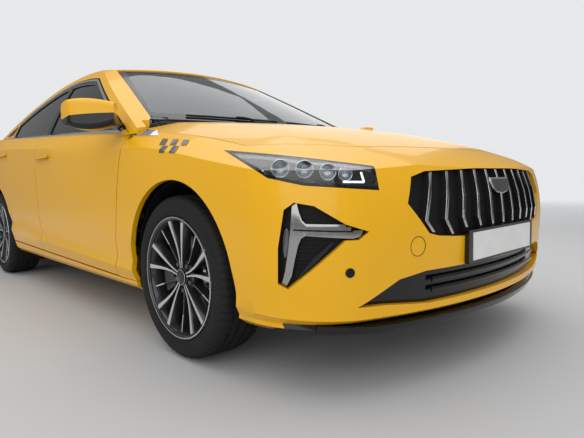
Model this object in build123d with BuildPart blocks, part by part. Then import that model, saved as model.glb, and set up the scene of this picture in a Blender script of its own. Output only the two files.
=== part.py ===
from build123d import *
from collections import namedtuple
import math
import os

os.makedirs("parts", exist_ok=True)

# A four-door fastback-like sedan. Millimetres, the nose towards -Y, the car's left towards +X, the ground at z = 0.
length = 4785
width = 1869
height = 1469
wheelbase = 2800
front_overhang = 912.5
track = 1610
nose_y = -length / 2
tail_y = length / 2
half_width = width / 2
front_axle_y = nose_y + front_overhang
rear_axle_y = front_axle_y + wheelbase
nose_corner_r = 330
tail_corner_r = 300
widest_y = front_axle_y + 1580

# Wheels: 225/45 R18 tyres.
tyre_r = 330
tyre_width = 225
bead_r = 228.6
rim_flange_r = 245
rim_width = 205
wheel_x = track / 2
arch_r = 390
liner_wall = 6
kingpin_x = wheel_x - 50
disc_r = 158
disc_thickness = 26

# Gaps and walls.
shut_gap = 7
seam_gap = 6
sheet_wall = 22
body_wall = 42
lamp_depth = 60
bar_set_in = 4
rail_wall = 58
door_frame_wall = 35
glass_set_in = 7
glass_thickness = 5
seat_gap = 0.3
lamp_gap = seat_gap
door_inner_x = 818
pillar_outer_x = 806

# One closed outline of the lower body per level, seen from above. Columns: the height above the ground, how far
# the outline climbs towards the tail for each millimetre of length, how far its nose lies behind the front end, how
# far the nose's arc falls back to the corner, the half width less each tuck, and the same for the tail.
Level = namedtuple("Level", "name z rise nose_back nose_sweep tuck_front tuck_middle tuck_rear tail_sweep tail_back")
levels = [
    Level("underside", 218, 0.004, 75, 250, 86, 68, 74, 120, 92),
    Level("lip", 244, 0.004, 18, 245, 46, 40, 44, 140, 42),
    Level("undercut", 274, 0.012, 41, 230, 46, 32, 36, 145, 27),
    Level("sill crest", 350, 0.036, 7, 212, 31, 9, 14, 150, 12),
    Level("hollow", 400, 0.038, 6, 205, 28, 22, 22, 150, 6),
    Level("lower crease", 480, 0.040, 4, 205, 18, 8, 10, 150, 3),
    Level("widest", 650, 0.040, 0.5, 205, 12, 2.6, 5, 150, 0),
    Level("shoulder", 925, 0.065, 48, 205, 31, 6, 8, 150, 20),
    Level("towards the roof", 1250, 0.065, 272, 180, 136, 86, 96, 140, 102),
]
level_bands = [(0, 1), (1, 2), (2, 3), (3, 4), (4, 5), (5, 6, 7, 8)]

# The bonnet, the belt and the deck, as sections across the body. Columns: the place along the car, the height at
# the middle, the crease beside it, the seam that the belt follows, and the height at the outer edge.
Station = namedtuple("Station", "y centre_z crease_x crease_z seam_x seam_z edge_z")
stations = [
    Station(nose_y - 47.5, 655, 430, 640, 800, 575, 520),
    Station(nose_y + 62.5, 752, 455, 733, 800, 668, 610),
    Station(nose_y + 272.5, 850, 530, 817, 800, 757, 690),
    Station(nose_y + 642.5, 938, 553, 907, 812, 845, 738),
    Station(front_axle_y + 180, 1003, 605, 980, 835, 922, 794),
    Station(front_axle_y + 530, 1035, 650, 1010, 858, 955, 787),
    Station(front_axle_y + 1480, 1050, 650, 1040, 872, 1011, 851),
    Station(rear_axle_y - 320, 1095, 650, 1090, 868, 1070, 915),
    Station(rear_axle_y + 380, 1118, 640, 1113, 850, 1098, 945),
    Station(tail_y - 192.5, 1102, 600, 1094, 820, 1082, 940),
    Station(tail_y + 47.5, 1092, 580, 1080, 790, 1060, 930),
]
edge_x = half_width + 50

# The sides of the cabin above the belt, seen from above at three heights.
CabinLevel = namedtuple("CabinLevel", "z half_front half_middle half_rear")
cabin_levels = [
    CabinLevel(880, 885, 902, 850),
    CabinLevel(1180, 735, 775, 690),
    CabinLevel(1480, 530, 585, 500),
]
cabin_front_y = front_axle_y - 20
cabin_middle_y = front_axle_y + 1780
cabin_rear_y = rear_axle_y + 930

# Windscreen, roof and rear window in profile: the foot of the screen, the front header, the highest point, the
# rear header and the tail, at the middle of the car and near its sides.
Profile = namedtuple("Profile", "x foot_y header_y header_z peak_z rear_y rear_z tail_y tail_z")
side_profile = (front_axle_y + 197, front_axle_y + 1355, height - 111, height - 98, rear_axle_y - 484,
                height - 164, rear_axle_y + 803, 1010)
profiles = [
    Profile(-920, *side_profile),
    Profile(0, front_axle_y + 65, front_axle_y + 1150, height - 29, height, rear_axle_y - 440, height - 67,
            rear_axle_y + 950, 1010),
    Profile(920, *side_profile),
]
cabin_base_z = 860
peak_y = front_axle_y + 1650


def level_outline(level, inset):
    tilted = Plane(origin=(0, 0, level.z), x_dir=(1, 0, 0), z_dir=(0, -level.rise, 1))
    front_y = nose_y + level.nose_back + inset
    rear_y = tail_y - level.tail_back - inset
    front_corner_y = front_y + level.nose_sweep
    rear_corner_y = rear_y - level.tail_sweep
    tucks = (level.tuck_front, level.tuck_middle, level.tuck_rear)
    front_x, middle_x, rear_x = (half_width - tuck - inset for tuck in tucks)
    with BuildSketch(tilted) as outline:
        with BuildLine():
            ThreePointArc((-front_x, front_corner_y), (0, front_y), (front_x, front_corner_y))
            ThreePointArc((front_x, front_corner_y), (middle_x, widest_y), (rear_x, rear_corner_y))
            ThreePointArc((rear_x, rear_corner_y), (0, rear_y), (-rear_x, rear_corner_y))
            ThreePointArc((-rear_x, rear_corner_y), (-middle_x, widest_y), (-front_x, front_corner_y))
        make_face()
        fillet(outline.vertices().group_by(Axis.Y)[0], nose_corner_r)
        fillet(outline.vertices().group_by(Axis.Y)[-1], tail_corner_r)
    return outline.sketch


def upper_limit(inset):
    sections = []
    for station in stations:
        crease_x, seam_x = station.crease_x, station.seam_x
        centre_z, crease_z = station.centre_z - inset, station.crease_z - inset
        seam_z, edge_z = station.seam_z - inset, station.edge_z - inset
        with BuildSketch(Plane.XZ.offset(-station.y)) as section:
            with BuildLine():
                ThreePointArc((-crease_x, crease_z), (0, centre_z), (crease_x, crease_z))
                Polyline((crease_x, crease_z), (seam_x, seam_z), (edge_x, edge_z), (edge_x, 0), (-edge_x, 0),
                         (-edge_x, edge_z), (-seam_x, seam_z), (-crease_x, crease_z))
            make_face()
        sections.append(section.sketch)
    with BuildPart() as block:
        loft(sections=sections)
    return block.part


def lower_body(inset):
    outlines = [level_outline(level, inset) for level in levels]
    with BuildPart() as body:
        for band in level_bands:
            loft(sections=[outlines[i] for i in band])
        add(upper_limit(inset), mode=Mode.INTERSECT)
    return body.part


def cabin_sides(inset):
    sections = []
    for level in cabin_levels:
        front_x, middle_x, rear_x = (half - inset for half in level[1:])
        with BuildSketch(Plane.XY.offset(level.z)) as section:
            with BuildLine():
                Line((-front_x, cabin_front_y), (front_x, cabin_front_y))
                ThreePointArc((front_x, cabin_front_y), (middle_x, cabin_middle_y), (rear_x, cabin_rear_y))
                Line((rear_x, cabin_rear_y), (-rear_x, cabin_rear_y))
                ThreePointArc((-rear_x, cabin_rear_y), (-middle_x, cabin_middle_y), (-front_x, cabin_front_y))
            make_face()
        sections.append(section.sketch)
    with BuildPart() as block:
        loft(sections=sections)
    return block.part


def cabin_profile(inset):
    sections = []
    for p in profiles:
        screen_middle = ((p.foot_y + p.header_y) / 2 - 8, (cabin_base_z + p.header_z) / 2 + 14)
        window_middle = ((p.rear_y + p.tail_y) / 2 + 10, (p.rear_z + p.tail_z) / 2 + 28)
        with BuildSketch(Plane.YZ.offset(p.x)) as section:
            with BuildLine():
                ThreePointArc((p.foot_y, cabin_base_z), screen_middle, (p.header_y, p.header_z))
                ThreePointArc((p.header_y, p.header_z), (peak_y, p.peak_z), (p.rear_y, p.rear_z))
                ThreePointArc((p.rear_y, p.rear_z), window_middle, (p.tail_y, p.tail_z))
                Polyline((p.tail_y, p.tail_z), (p.tail_y, cabin_base_z), (p.foot_y, cabin_base_z))
            make_face()
            if inset:
                offset(amount=-inset, kind=Kind.INTERSECTION, mode=Mode.REPLACE)
        sections.append(section.sketch)
    with BuildPart() as block:
        loft(sections=sections)
    return block.part


def cabin(inset):
    with BuildPart() as block:
        add(cabin_sides(inset))
        add(cabin_profile(inset), mode=Mode.INTERSECT)
    return block.part


def block_between(x, y, z):
    with BuildPart() as block:
        with Locations(((x[0] + x[1]) / 2, (y[0] + y[1]) / 2, (z[0] + z[1]) / 2)):
            Box(x[1] - x[0], y[1] - y[0], z[1] - z[0])
    return block.part


def across(sketch, x=(0, 1100)):
    with BuildPart() as prism:
        add(Plane.YZ.offset(x[0]) * sketch)
        extrude(amount=x[1] - x[0], dir=(1, 0, 0))
    return prism.part


def upward(sketch, z=(100, 1600)):
    with BuildPart() as prism:
        add(Plane.XY.offset(z[0]) * sketch)
        extrude(amount=z[1] - z[0], dir=(0, 0, 1))
    return prism.part


def rearward(sketch, y):
    with BuildPart() as prism:
        add(Plane(origin=(0, y[0], 0), x_dir=(1, 0, 0), z_dir=(0, -1, 0)) * sketch)
        extrude(amount=y[1] - y[0], dir=(0, 1, 0))
    return prism.part


def polygon(points, grow=0, corner=0):
    with BuildSketch() as face:
        with BuildLine():
            Polyline(*points, close=True)
        make_face()
        if corner:
            fillet(face.vertices(), corner)
        if grow:
            offset(amount=grow, kind=Kind.INTERSECTION, mode=Mode.REPLACE)
    return face.sketch


def both_sides(left):
    return Compound(left.solids() + left.mirror(Plane.YZ).solids())


def right_of(left):
    return Compound(left.mirror(Plane.YZ).solids())


def save(piece, name):
    piece.label = name
    export_step(piece, f"parts/{name}.step")


# Both door openings of one side in one outline, in the side view (y, z). It is the middle of the shut gap.
door_front_y = front_axle_y + 458
door_split_y = front_axle_y + 1698
door_rear_y = rear_axle_y - 52
door_foot_front = (front_axle_y + 574, 262)
door_foot_rear = (rear_axle_y - 444, 298)
door_arch_middle = (rear_axle_y - 419, 480)
door_arch_top = (rear_axle_y - 309, 650)
door_flank = (rear_axle_y - 170, 800)
door_top_start = (front_axle_y + 1218, 1338)
door_top_peak = (front_axle_y + 1650, 1385)
door_top_end = (rear_axle_y - 720, 1356)
door_back_middle = (rear_axle_y - 370, 1297)
door_back_end = (door_rear_y, 1225)
with BuildSketch() as openings_outline:
    with BuildLine():
        Polyline(door_foot_front, (front_axle_y + 496, 606), (door_front_y - 15, 857), (door_front_y, 945),
                 (door_front_y + 14, 952), door_top_start)
        ThreePointArc(door_top_start, door_top_peak, door_top_end)
        ThreePointArc(door_top_end, door_back_middle, door_back_end)
        Polyline(door_back_end, (door_rear_y - 6, 1108), door_flank, door_arch_top)
        ThreePointArc(door_arch_top, door_arch_middle, door_foot_rear)
        Line(door_foot_rear, door_foot_front)
    make_face()


def belt_z(y):
    return 948 + 0.061 * (y - front_axle_y - 480)


far_y = 3000
far_z = 2000


def side_between(y, grow=0):
    with BuildSketch() as face:
        add(openings_outline.sketch)
        offset(amount=-shut_gap / 2, kind=Kind.INTERSECTION, mode=Mode.REPLACE)
        add(polygon([(y[0], 0), (y[1], 0), (y[1], far_z), (y[0], far_z)]), mode=Mode.INTERSECT)
        if grow:
            offset(amount=grow, kind=Kind.INTERSECTION, mode=Mode.REPLACE)
    return face.sketch


def window_in(door_sketch, frame, sill):
    with BuildSketch() as face:
        add(door_sketch)
        offset(amount=-frame, kind=Kind.INTERSECTION, mode=Mode.REPLACE)
        add(polygon([(-far_y, belt_z(-far_y) + sill), (far_y, belt_z(far_y) + sill), (far_y, far_z),
                     (-far_y, far_z)]), mode=Mode.INTERSECT)
    return face.sketch


window_frame = 36
window_sill = 16
front_door_sketch = side_between((-far_y, door_split_y - shut_gap / 2))
rear_door_sketch = side_between((door_split_y + shut_gap / 2, far_y))
front_window_sketch = window_in(front_door_sketch, window_frame, window_sill)
rear_window_sketch = window_in(rear_door_sketch, window_frame, window_sill)
quarter_window_points = [(door_rear_y + 24, 1124), (door_rear_y + 24, 1206), (rear_axle_y + 238, 1148),
                         (rear_axle_y + 266, 1126)]
quarter_window_corner_r = 8
with BuildSketch() as openings_grown:
    add(openings_outline.sketch)
    offset(amount=shut_gap / 2, kind=Kind.INTERSECTION, mode=Mode.REPLACE)

# Seen from above: the bonnet, the boot lid, the roof panel, the windscreen and the rear window.
bonnet_rear_middle_y = front_axle_y + 315
bonnet_rear_corner = (790, front_axle_y + 440)
bonnet_nose_corner = (544, nose_y + 292)
bonnet_nose_y = nose_y + 198


def bonnet_sketch(grow=0):
    rear_x, rear_y = bonnet_rear_corner
    nose_x, nose_side_y = bonnet_nose_corner
    flank = [(832, front_axle_y + 228), (802, front_axle_y - 104), (800, front_axle_y - 332),
             (700, front_axle_y - 420)]
    with BuildSketch() as face:
        with BuildLine():
            ThreePointArc((rear_x, rear_y), (0, bonnet_rear_middle_y), (-rear_x, rear_y))
            Polyline((-rear_x, rear_y), *[(-x, y) for x, y in flank], (-nose_x, nose_side_y))
            ThreePointArc((-nose_x, nose_side_y), (0, bonnet_nose_y), (nose_x, nose_side_y))
            Polyline((nose_x, nose_side_y), *flank[::-1], (rear_x, rear_y))
        make_face()
        if grow:
            offset(amount=grow, kind=Kind.INTERSECTION, mode=Mode.REPLACE)
    return face.sketch


lid_front_corner = (600, rear_axle_y + 665)
lid_front_middle_y = rear_axle_y + 685
lid_rear_x = 560


def lid_sketch(grow=0):
    front_x, front_y = lid_front_corner
    with BuildSketch() as face:
        with BuildLine():
            ThreePointArc((-front_x, front_y), (0, lid_front_middle_y), (front_x, front_y))
            Polyline((front_x, front_y), (lid_rear_x, tail_y - 150), (lid_rear_x, far_y), (-lid_rear_x, far_y),
                     (-lid_rear_x, tail_y - 150), (-front_x, front_y))
        make_face()
        if grow:
            offset(amount=grow, kind=Kind.INTERSECTION, mode=Mode.REPLACE)
    return face.sketch


def banded(foot_x, foot_y, foot_middle_y, head_x, head_y, head_middle_y, grow=0):
    with BuildSketch() as face:
        with BuildLine():
            ThreePointArc((-foot_x, foot_y), (0, foot_middle_y), (foot_x, foot_y))
            Line((foot_x, foot_y), (head_x, head_y))
            ThreePointArc((head_x, head_y), (0, head_middle_y), (-head_x, head_y))
            Line((-head_x, head_y), (-foot_x, foot_y))
        make_face()
        if grow:
            offset(amount=grow, kind=Kind.INTERSECTION, mode=Mode.REPLACE)
    return face.sketch


roof_x = 572
screen_head_y = front_axle_y + 1225
screen_head_middle_y = front_axle_y + 1135
rear_head_y = rear_axle_y - 405
rear_head_middle_y = rear_axle_y - 385
screen_sketch = banded(745, front_axle_y + 480, front_axle_y + 340, roof_x, screen_head_y, screen_head_middle_y)
roof_sketch = banded(roof_x, screen_head_y, screen_head_middle_y, roof_x - 12, rear_head_y, rear_head_middle_y)
back_foot_x = 640
back_foot_y = rear_axle_y + 575
back_foot_middle_y = rear_axle_y + 640
back_sketch = banded(roof_x - 12, rear_head_y, rear_head_middle_y, back_foot_x, back_foot_y, back_foot_middle_y)

# Seen from the side: the seams of the bumpers, and the wheel arches.
sill_top_z = 262
bumper_seam = [(front_axle_y - 120, 650), (front_axle_y - 208, 691), (front_axle_y - 323, 773),
               (front_axle_y - 380, 800), (front_axle_y - 420, 860)]
front_bumper_sketch = polygon([(front_axle_y - 120, 100), *bumper_seam, (front_axle_y - 420, 1000),
                               (-far_y, 1000), (-far_y, 100)])
rear_seam_z = 705
rear_bumper_sketch = polygon([(rear_axle_y + 200, 100), (rear_axle_y + 300, 520), (rear_axle_y + 440, rear_seam_z),
                              (far_y, rear_seam_z), (far_y, 100)])
fender_sketch = polygon([(front_axle_y - 700, sill_top_z), (front_axle_y - 700, 1100), (front_axle_y + 470, 1100),
                         (front_axle_y + 600, sill_top_z)])
quarter_sketch = polygon([(rear_axle_y - 470, 299), (rear_axle_y - 470, far_z), (far_y, far_z), (far_y, 299)])
with BuildSketch() as arches:
    with Locations((front_axle_y, tyre_r), (rear_axle_y, tyre_r)):
        Circle(arch_r)
front_arch_inner_x = 500
rear_arch_inner_x = 646
arch_cut = Compound(across(arches.sketch, (front_arch_inner_x, 1100)).solids().sort_by(Axis.Y)[:1]
                    + across(arches.sketch, (rear_arch_inner_x, 1100)).solids().sort_by(Axis.Y)[1:])

# Lamp outlines. A headlamp lies on the corner, so its outline is drawn in an upright plane turned by lamp_turn:
# its points are the distance along that plane and the height.
lamp_turn = math.radians(40)


def on_lamp_plane(x, y, z):
    return (x * math.cos(lamp_turn) + y * math.sin(lamp_turn), z)


headlamp_points = [on_lamp_plane(*p) for p in [
    (820, front_axle_y - 228, 821), (759, front_axle_y - 580, 780), (635, front_axle_y - 767, 747),
    (647, front_axle_y - 796, 671), (812, front_axle_y - 620, 691), (850, front_axle_y - 500, 716),
]]


def lamp_plane_block(points, grow=0):
    plane = Plane(origin=(0, 0, 0), x_dir=(math.cos(lamp_turn), math.sin(lamp_turn), 0),
                  z_dir=(math.sin(lamp_turn), -math.cos(lamp_turn), 0))
    with BuildPart() as prism:
        add(plane * polygon(points, grow))
        extrude(amount=3200, dir=(math.sin(lamp_turn), -math.cos(lamp_turn), 0))
    return prism.part


tail_lamp_z = (925, 992)
tail_lamp_front_y = tail_y - 215
grille_points = [(165, 738), (444, 729), (511, 711), (547, 626), (462, 524), (416, 512), (282, 500)]
lower_grille_points = [(470, 400), (582, 384), (729, 310), (627, 306), (450, 288)]
vent_points = [on_lamp_plane(*p) for p in [
    (893, front_axle_y - 592, 500), (891, front_axle_y - 621, 618), (874, front_axle_y - 648, 640),
    (828, front_axle_y - 686, 629), (752, front_axle_y - 741, 572), (680, front_axle_y - 774, 546),
    (713, front_axle_y - 761, 522), (751, front_axle_y - 740, 522), (881, front_axle_y - 623, 372),
    (896, front_axle_y - 592, 387),
]]
plate_size = (507, 3, 99)
plate_z = 461
plate_frame = (564, 16, 118)


def mirrored(points):
    return points + [(-x, z) for x, z in points[::-1]]


grille_face = polygon(mirrored(grille_points))
lower_grille_face = polygon(mirrored(lower_grille_points))

# The skins: the outside of the body, and the same form set in by each wall.
outer_lower = lower_body(0)
outer_cabin = cabin(0)
inside_bars = lower_body(bar_set_in)
inside_sheet = lower_body(sheet_wall)
inside_wall = lower_body(body_wall)
inside_lamp = lower_body(lamp_depth)
glass_outside = cabin(glass_set_in)
glass_inside = cabin(glass_set_in + glass_thickness)
glass_seat = cabin(glass_set_in + glass_thickness + seat_gap)
frame_inside = cabin(door_frame_wall)
rail_inside = cabin(rail_wall)
left_half = block_between((0, 1100), (-far_y, far_y), (0, far_z))
inboard = block_between((-1100, door_inner_x), (-far_y, far_y), (0, far_z))
under_belt = block_between((-1100, 1100), (-far_y, far_y), (0, belt_z(door_front_y) - 12))


def shell(outside, *cuts):
    with BuildPart() as skin:
        add(outside)
        add(list(cuts), mode=Mode.SUBTRACT)
    return skin.part


def kept(stock, zone, *cuts):
    with BuildPart() as piece:
        add(stock)
        add(zone, mode=Mode.INTERSECT)
        if cuts:
            add(list(cuts), mode=Mode.SUBTRACT)
    return piece.part


def joined(*pieces):
    with BuildPart() as whole:
        for piece in pieces:
            add(piece)
    return whole.part


sheet = shell(outer_lower, inside_sheet)
wall = shell(outer_lower, inside_wall)
lamp_stock = shell(outer_lower, inside_lamp)
nose = block_between((-1100, 1100), (-far_y, front_axle_y - 120), (100, 1000))
tail = block_between((-1100, 1100), (rear_axle_y + 200, far_y), (100, 1300))

# The doors: as thick as the whole wall below the belt, and a frame around each window above it.
door_stock = joined(shell(outer_lower, inboard), kept(shell(outer_cabin, frame_inside, under_belt), left_half))
glass_skin = kept(shell(glass_outside, glass_inside, under_belt), left_half)
front_door_left = kept(door_stock, across(front_door_sketch), across(front_window_sketch))
rear_door_left = kept(door_stock, across(rear_door_sketch), across(rear_window_sketch))
front_door_glass_left = kept(glass_skin, across(window_in(front_door_sketch, window_frame + seat_gap,
                                                          window_sill + seat_gap)))
rear_door_glass_left = kept(glass_skin, across(window_in(rear_door_sketch, window_frame + seat_gap,
                                                         window_sill + seat_gap)))

# Door handles: a bar on two feet. Columns: the middle of the bar along the car, its height, the door's skin there.
Handle = namedtuple("Handle", "y z skin_x")
handle_length = 236
handle_high = 22
handle_depth = 12
handle_reach = 27
handle_foot = 26


def door_handle(h):
    outer_x = h.skin_x + handle_reach
    ends = (h.y - handle_length / 2, h.y + handle_length / 2)
    with BuildPart() as handle:
        with BuildSketch(Plane.YZ.offset(outer_x - handle_depth)):
            with Locations((h.y, h.z)):
                RectangleRounded(handle_length, handle_high, 8)
        extrude(amount=handle_depth)
        for y in (ends[0] + 6, ends[1] - 6 - handle_foot):
            with Locations(((h.skin_x + outer_x) / 2 - 8, y + handle_foot / 2, h.z)):
                Box(outer_x - h.skin_x, handle_foot, handle_high - 8)
    return handle.part


front_handle = door_handle(Handle(48, 884, 929))
rear_handle = door_handle(Handle(front_axle_y + 2500, 943, 924))

# Door hinges: a pin held by two leaves on the pillar, and an arm on the door between them. Columns: the pin's
# place from above, its height and the door's front face at that height.
Hinge = namedtuple("Hinge", "x y z face_y")
front_hinge_x, front_hinge_y = half_width - 28.5, front_axle_y + 425
rear_hinge_x, rear_hinge_y = half_width - 22.5, door_split_y - 42
front_hinges = [Hinge(front_hinge_x, front_hinge_y, 640, front_axle_y + 489),
                Hinge(front_hinge_x, front_hinge_y, 820, front_axle_y + 452)]
rear_hinges = [Hinge(rear_hinge_x, rear_hinge_y, 520, door_split_y), Hinge(rear_hinge_x, rear_hinge_y, 820, door_split_y)]
pin_r = 4
pin_play = 0.3
eye_r = 8
leaf_thickness = 6
arm_thickness = 10


def hinge_bracket(h):
    with BuildPart() as bracket:
        for z in (h.z - arm_thickness / 2 - pin_play - leaf_thickness, h.z + arm_thickness / 2 + pin_play):
            with BuildSketch(Plane.XY.offset(z)):
                Polygon((pillar_outer_x, h.y - 30), (h.x, h.y - eye_r), (h.x, h.y + eye_r),
                        (pillar_outer_x, h.y - 5), align=None)
                with Locations((h.x, h.y)):
                    Circle(eye_r)
            extrude(amount=leaf_thickness)
        height = arm_thickness + 2 * pin_play + 2 * leaf_thickness
        with Locations((h.x, h.y, h.z)):
            Cylinder(pin_r, height)
        with Locations((pillar_outer_x + 3, h.y - 17.5, h.z)):
            Box(6, 25, height)
    return bracket.part


def hinge_arm(h):
    with BuildPart() as arm:
        with BuildSketch(Plane.XY.offset(h.z - arm_thickness / 2)):
            Polygon((h.x - 3, h.y - 4), (h.x + 3, h.y + 4), (door_inner_x + 12, h.face_y + 2),
                    (door_inner_x + 12, h.face_y + 20), (door_inner_x + 1, h.face_y + 20),
                    (door_inner_x + 1, h.face_y - 4), align=None)
            with Locations((h.x, h.y)):
                Circle(eye_r)
                Circle(pin_r + pin_play, mode=Mode.SUBTRACT)
        extrude(amount=arm_thickness)
    return arm.part


def hinge_pockets(hinges, y):
    high = arm_thickness / 2 + leaf_thickness + 6
    return joined(*[kept(inside_bars, block_between((door_inner_x - 1, 1100), y, (h.z - high, h.z + high)))
                    for h in hinges])


door_hinges = both_sides(Compound([hinge_bracket(h) for h in front_hinges + rear_hinges]))
front_door_left = joined(kept(front_door_left, left_half, hinge_pockets(rear_hinges, (rear_hinge_y - 50, far_y))),
                         front_handle, *[hinge_arm(h) for h in front_hinges])
rear_door_left = joined(rear_door_left, rear_handle, *[hinge_arm(h) for h in rear_hinges])

# A mirror on each front door: a housing that runs outwards and back from an arm at the corner of the window.
# Columns: the section's place from above, the height of its middle, its depth and its height.
MirrorSection = namedtuple("MirrorSection", "x y z depth high")
mirror_sections = [
    MirrorSection(922, front_axle_y + 462, 1028, 66, 96),
    MirrorSection(972, front_axle_y + 505, 1024, 96, 130),
    MirrorSection(1072, front_axle_y + 591, 1029, 94, 122),
    MirrorSection(1120, front_axle_y + 632, 1036, 50, 74),
]
mirror_run = (0.759, 0.651, 0)
mirror_corner_r = 24
mirror_arm_z = (972, 998)
with BuildPart() as mirror_left:
    for section in mirror_sections:
        with BuildSketch(Plane(origin=(section.x, section.y, section.z), x_dir=(-mirror_run[1], mirror_run[0], 0),
                               z_dir=mirror_run)):
            RectangleRounded(section.depth, section.high, mirror_corner_r)
    loft()
    with BuildSketch(Plane.XY.offset(mirror_arm_z[0])):
        Polygon((800, front_axle_y + 558), (842, front_axle_y + 554), (925, front_axle_y + 470),
                (965, front_axle_y + 490), (945, front_axle_y + 545), (852, front_axle_y + 597),
                (800, front_axle_y + 597), align=None)
    extrude(amount=mirror_arm_z[1] - mirror_arm_z[0])
mirror_left = kept(mirror_left.part, left_half, outer_lower, outer_cabin)

# The fixed skin.
bonnet_hole = upward(bonnet_sketch(seam_gap), (600, 1200))
bonnet = kept(sheet, upward(bonnet_sketch(), (600, 1200)))
vent_hole = kept(lamp_plane_block(vent_points), block_between((0, 1100), (-far_y, nose_y + 420), (0, far_z)))
lamp_hole = lamp_plane_block(headlamp_points, lamp_gap)
cowl_zone = block_between((-779, 779), (front_axle_y + 290, front_axle_y + 520), (880, 1300))
front_fender_left = kept(sheet, across(fender_sketch), across(openings_grown.sketch), across(front_bumper_sketch),
                         bonnet_hole, arch_cut, lamp_hole, cowl_zone, outer_cabin,
                         hinge_pockets(front_hinges, (front_hinge_y - 20, far_y)))
nose_wall = kept(wall, nose)
frame_w, frame_d, frame_h = plate_frame
plate_recess = block_between((-frame_w / 2 - seat_gap, frame_w / 2 + seat_gap),
                             (-far_y, nose_y + plate_size[1] + frame_d + seat_gap),
                             (plate_z - frame_h / 2 - seat_gap, plate_z + frame_h / 2 + seat_gap))
front_bumper = kept(nose_wall, across(front_bumper_sketch, (-1100, 1100)), bonnet_hole, both_sides(arch_cut),
                    both_sides(lamp_hole),
                    rearward(grille_face, (-far_y, nose_y + 260)),
                    rearward(lower_grille_face, (-far_y, nose_y + 400)),
                    both_sides(vent_hole),
                    block_between((-700, 700), (nose_y + 420, 0), (100, 600)), plate_recess)

nose_lamp_stock = kept(lamp_stock, nose)
headlamps = both_sides(kept(nose_lamp_stock, lamp_plane_block(headlamp_points),
                            block_between((-1100, 0), (-far_y, far_y), (0, far_z))))

quarter_stock = kept(joined(wall, shell(outer_cabin, rail_inside, under_belt)), across(quarter_sketch))
lid_hole = upward(lid_sketch(seam_gap), (rear_seam_z - 10, 1400))
tail_lamp_hole = block_between((0, 1100), (tail_lamp_front_y - lamp_gap, far_y),
                               (tail_lamp_z[0] - lamp_gap, tail_lamp_z[1] + lamp_gap))
rear_quarter_left = kept(quarter_stock, left_half, across(openings_grown.sketch),
                         across(rear_bumper_sketch), upward(back_sketch), upward(roof_sketch), lid_hole, arch_cut,
                         tail_lamp_hole, across(polygon(quarter_window_points, 0, quarter_window_corner_r)),
                         block_between((-1100, 600), (-far_y, tail_y - 200), (0, far_z)),
                         block_between((-1100, 1100), (-far_y, door_rear_y - 4), (934, far_z)))
tail_wall = kept(wall, tail)
boot_lid = kept(tail_wall, upward(lid_sketch(), (rear_seam_z + 4, 1400)), outer_cabin,
                shell(block_between((-1100, 1100), (tail_lamp_front_y, far_y), tail_lamp_z), inside_sheet),
                block_between((-1100, 1100), (-far_y, tail_y - 120), (0, 900)))
tail_lamp_zone = block_between((lid_rear_x + seam_gap, 1100), (tail_lamp_front_y, far_y), tail_lamp_z)
tail_lamp_stock = kept(lamp_stock, tail)
tail_lamps = both_sides(kept(tail_lamp_stock, tail_lamp_zone))
boot_lamp = kept(sheet, block_between((-lid_rear_x + 2, lid_rear_x - 2), (tail_lamp_front_y + 60, far_y), tail_lamp_z))
rear_bumper = kept(tail_wall, across(rear_bumper_sketch, (-1100, 1100)),
                   upward(lid_sketch(seam_gap), (rear_seam_z - 10, 1400)), arch_cut, right_of(arch_cut),
                   block_between((-700, 700), (0, tail_y - 330), (100, 900)))

rail_zone = polygon([(front_axle_y + 385, 935), (front_axle_y + 385, far_z), (door_rear_y - 4, far_z),
                     (door_rear_y - 4, 935)])
rail_stock = kept(shell(outer_cabin, rail_inside, under_belt), left_half)
# In front of the windscreen the rails end at a slanting line, and the bonnet's rear edge swings up beside it.
bonnet_swing = upward(polygon([(0, front_axle_y + 100), (1000, front_axle_y + 100), (800, front_axle_y + 400),
                                (745, front_axle_y + 480), (0, front_axle_y + 480)]))
roof_rail_left = kept(rail_stock, across(rail_zone), across(openings_grown.sketch), upward(screen_sketch),
                      upward(roof_sketch), upward(back_sketch), outer_lower, bonnet_swing,
                      upward(bonnet_sketch(seam_gap + 10)))
roof = kept(shell(outer_cabin, frame_inside, under_belt), upward(roof_sketch))
screen_skin = shell(glass_outside, glass_inside, under_belt)
windscreen = kept(screen_skin, upward(banded(745 - seat_gap, front_axle_y + 480, front_axle_y + 340 + seat_gap,
                                             roof_x - seat_gap, screen_head_y - seat_gap,
                                             screen_head_middle_y - seat_gap)))
back_window = kept(screen_skin, upward(banded(roof_x - 12 - seat_gap, rear_head_y + seat_gap,
                                              rear_head_middle_y + seat_gap, back_foot_x - seat_gap,
                                              back_foot_y - seat_gap, back_foot_middle_y - seat_gap)), outer_lower)
quarter_windows = both_sides(kept(glass_skin, across(polygon(quarter_window_points, -seat_gap,
                                                             quarter_window_corner_r))))

# The bonnet turns on two pins beside the cowl, the boot lid on two pins under its front edge.
bonnet_pin = (front_axle_y + 462, 968)
bonnet_pin_x = 725
lid_pin = (rear_axle_y + 635, 1085)
lid_pin_x = 583
lid_pin_r = 5
lid_arm_width = 12
lid_arm_depth = 10


def lid_arm(pin, x, steps):
    with BuildPart() as arm:
        with BuildSketch(Plane.YZ.offset(x - lid_arm_width / 2)):
            with BuildLine():
                Polyline(pin, *[(pin[0] + y, pin[1] + z) for y, z in steps])
            trace(line_width=lid_arm_depth)
            with Locations(pin):
                Circle(lid_pin_r + 5)
                Circle(lid_pin_r + pin_play, mode=Mode.SUBTRACT)
        extrude(amount=lid_arm_width)
    return arm.part


def pin_across(pin, x):
    with BuildPart() as rod:
        with BuildSketch(Plane.YZ.offset(x[0])):
            with Locations(pin):
                Circle(lid_pin_r)
        extrude(amount=x[1] - x[0])
    return rod.part


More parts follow.
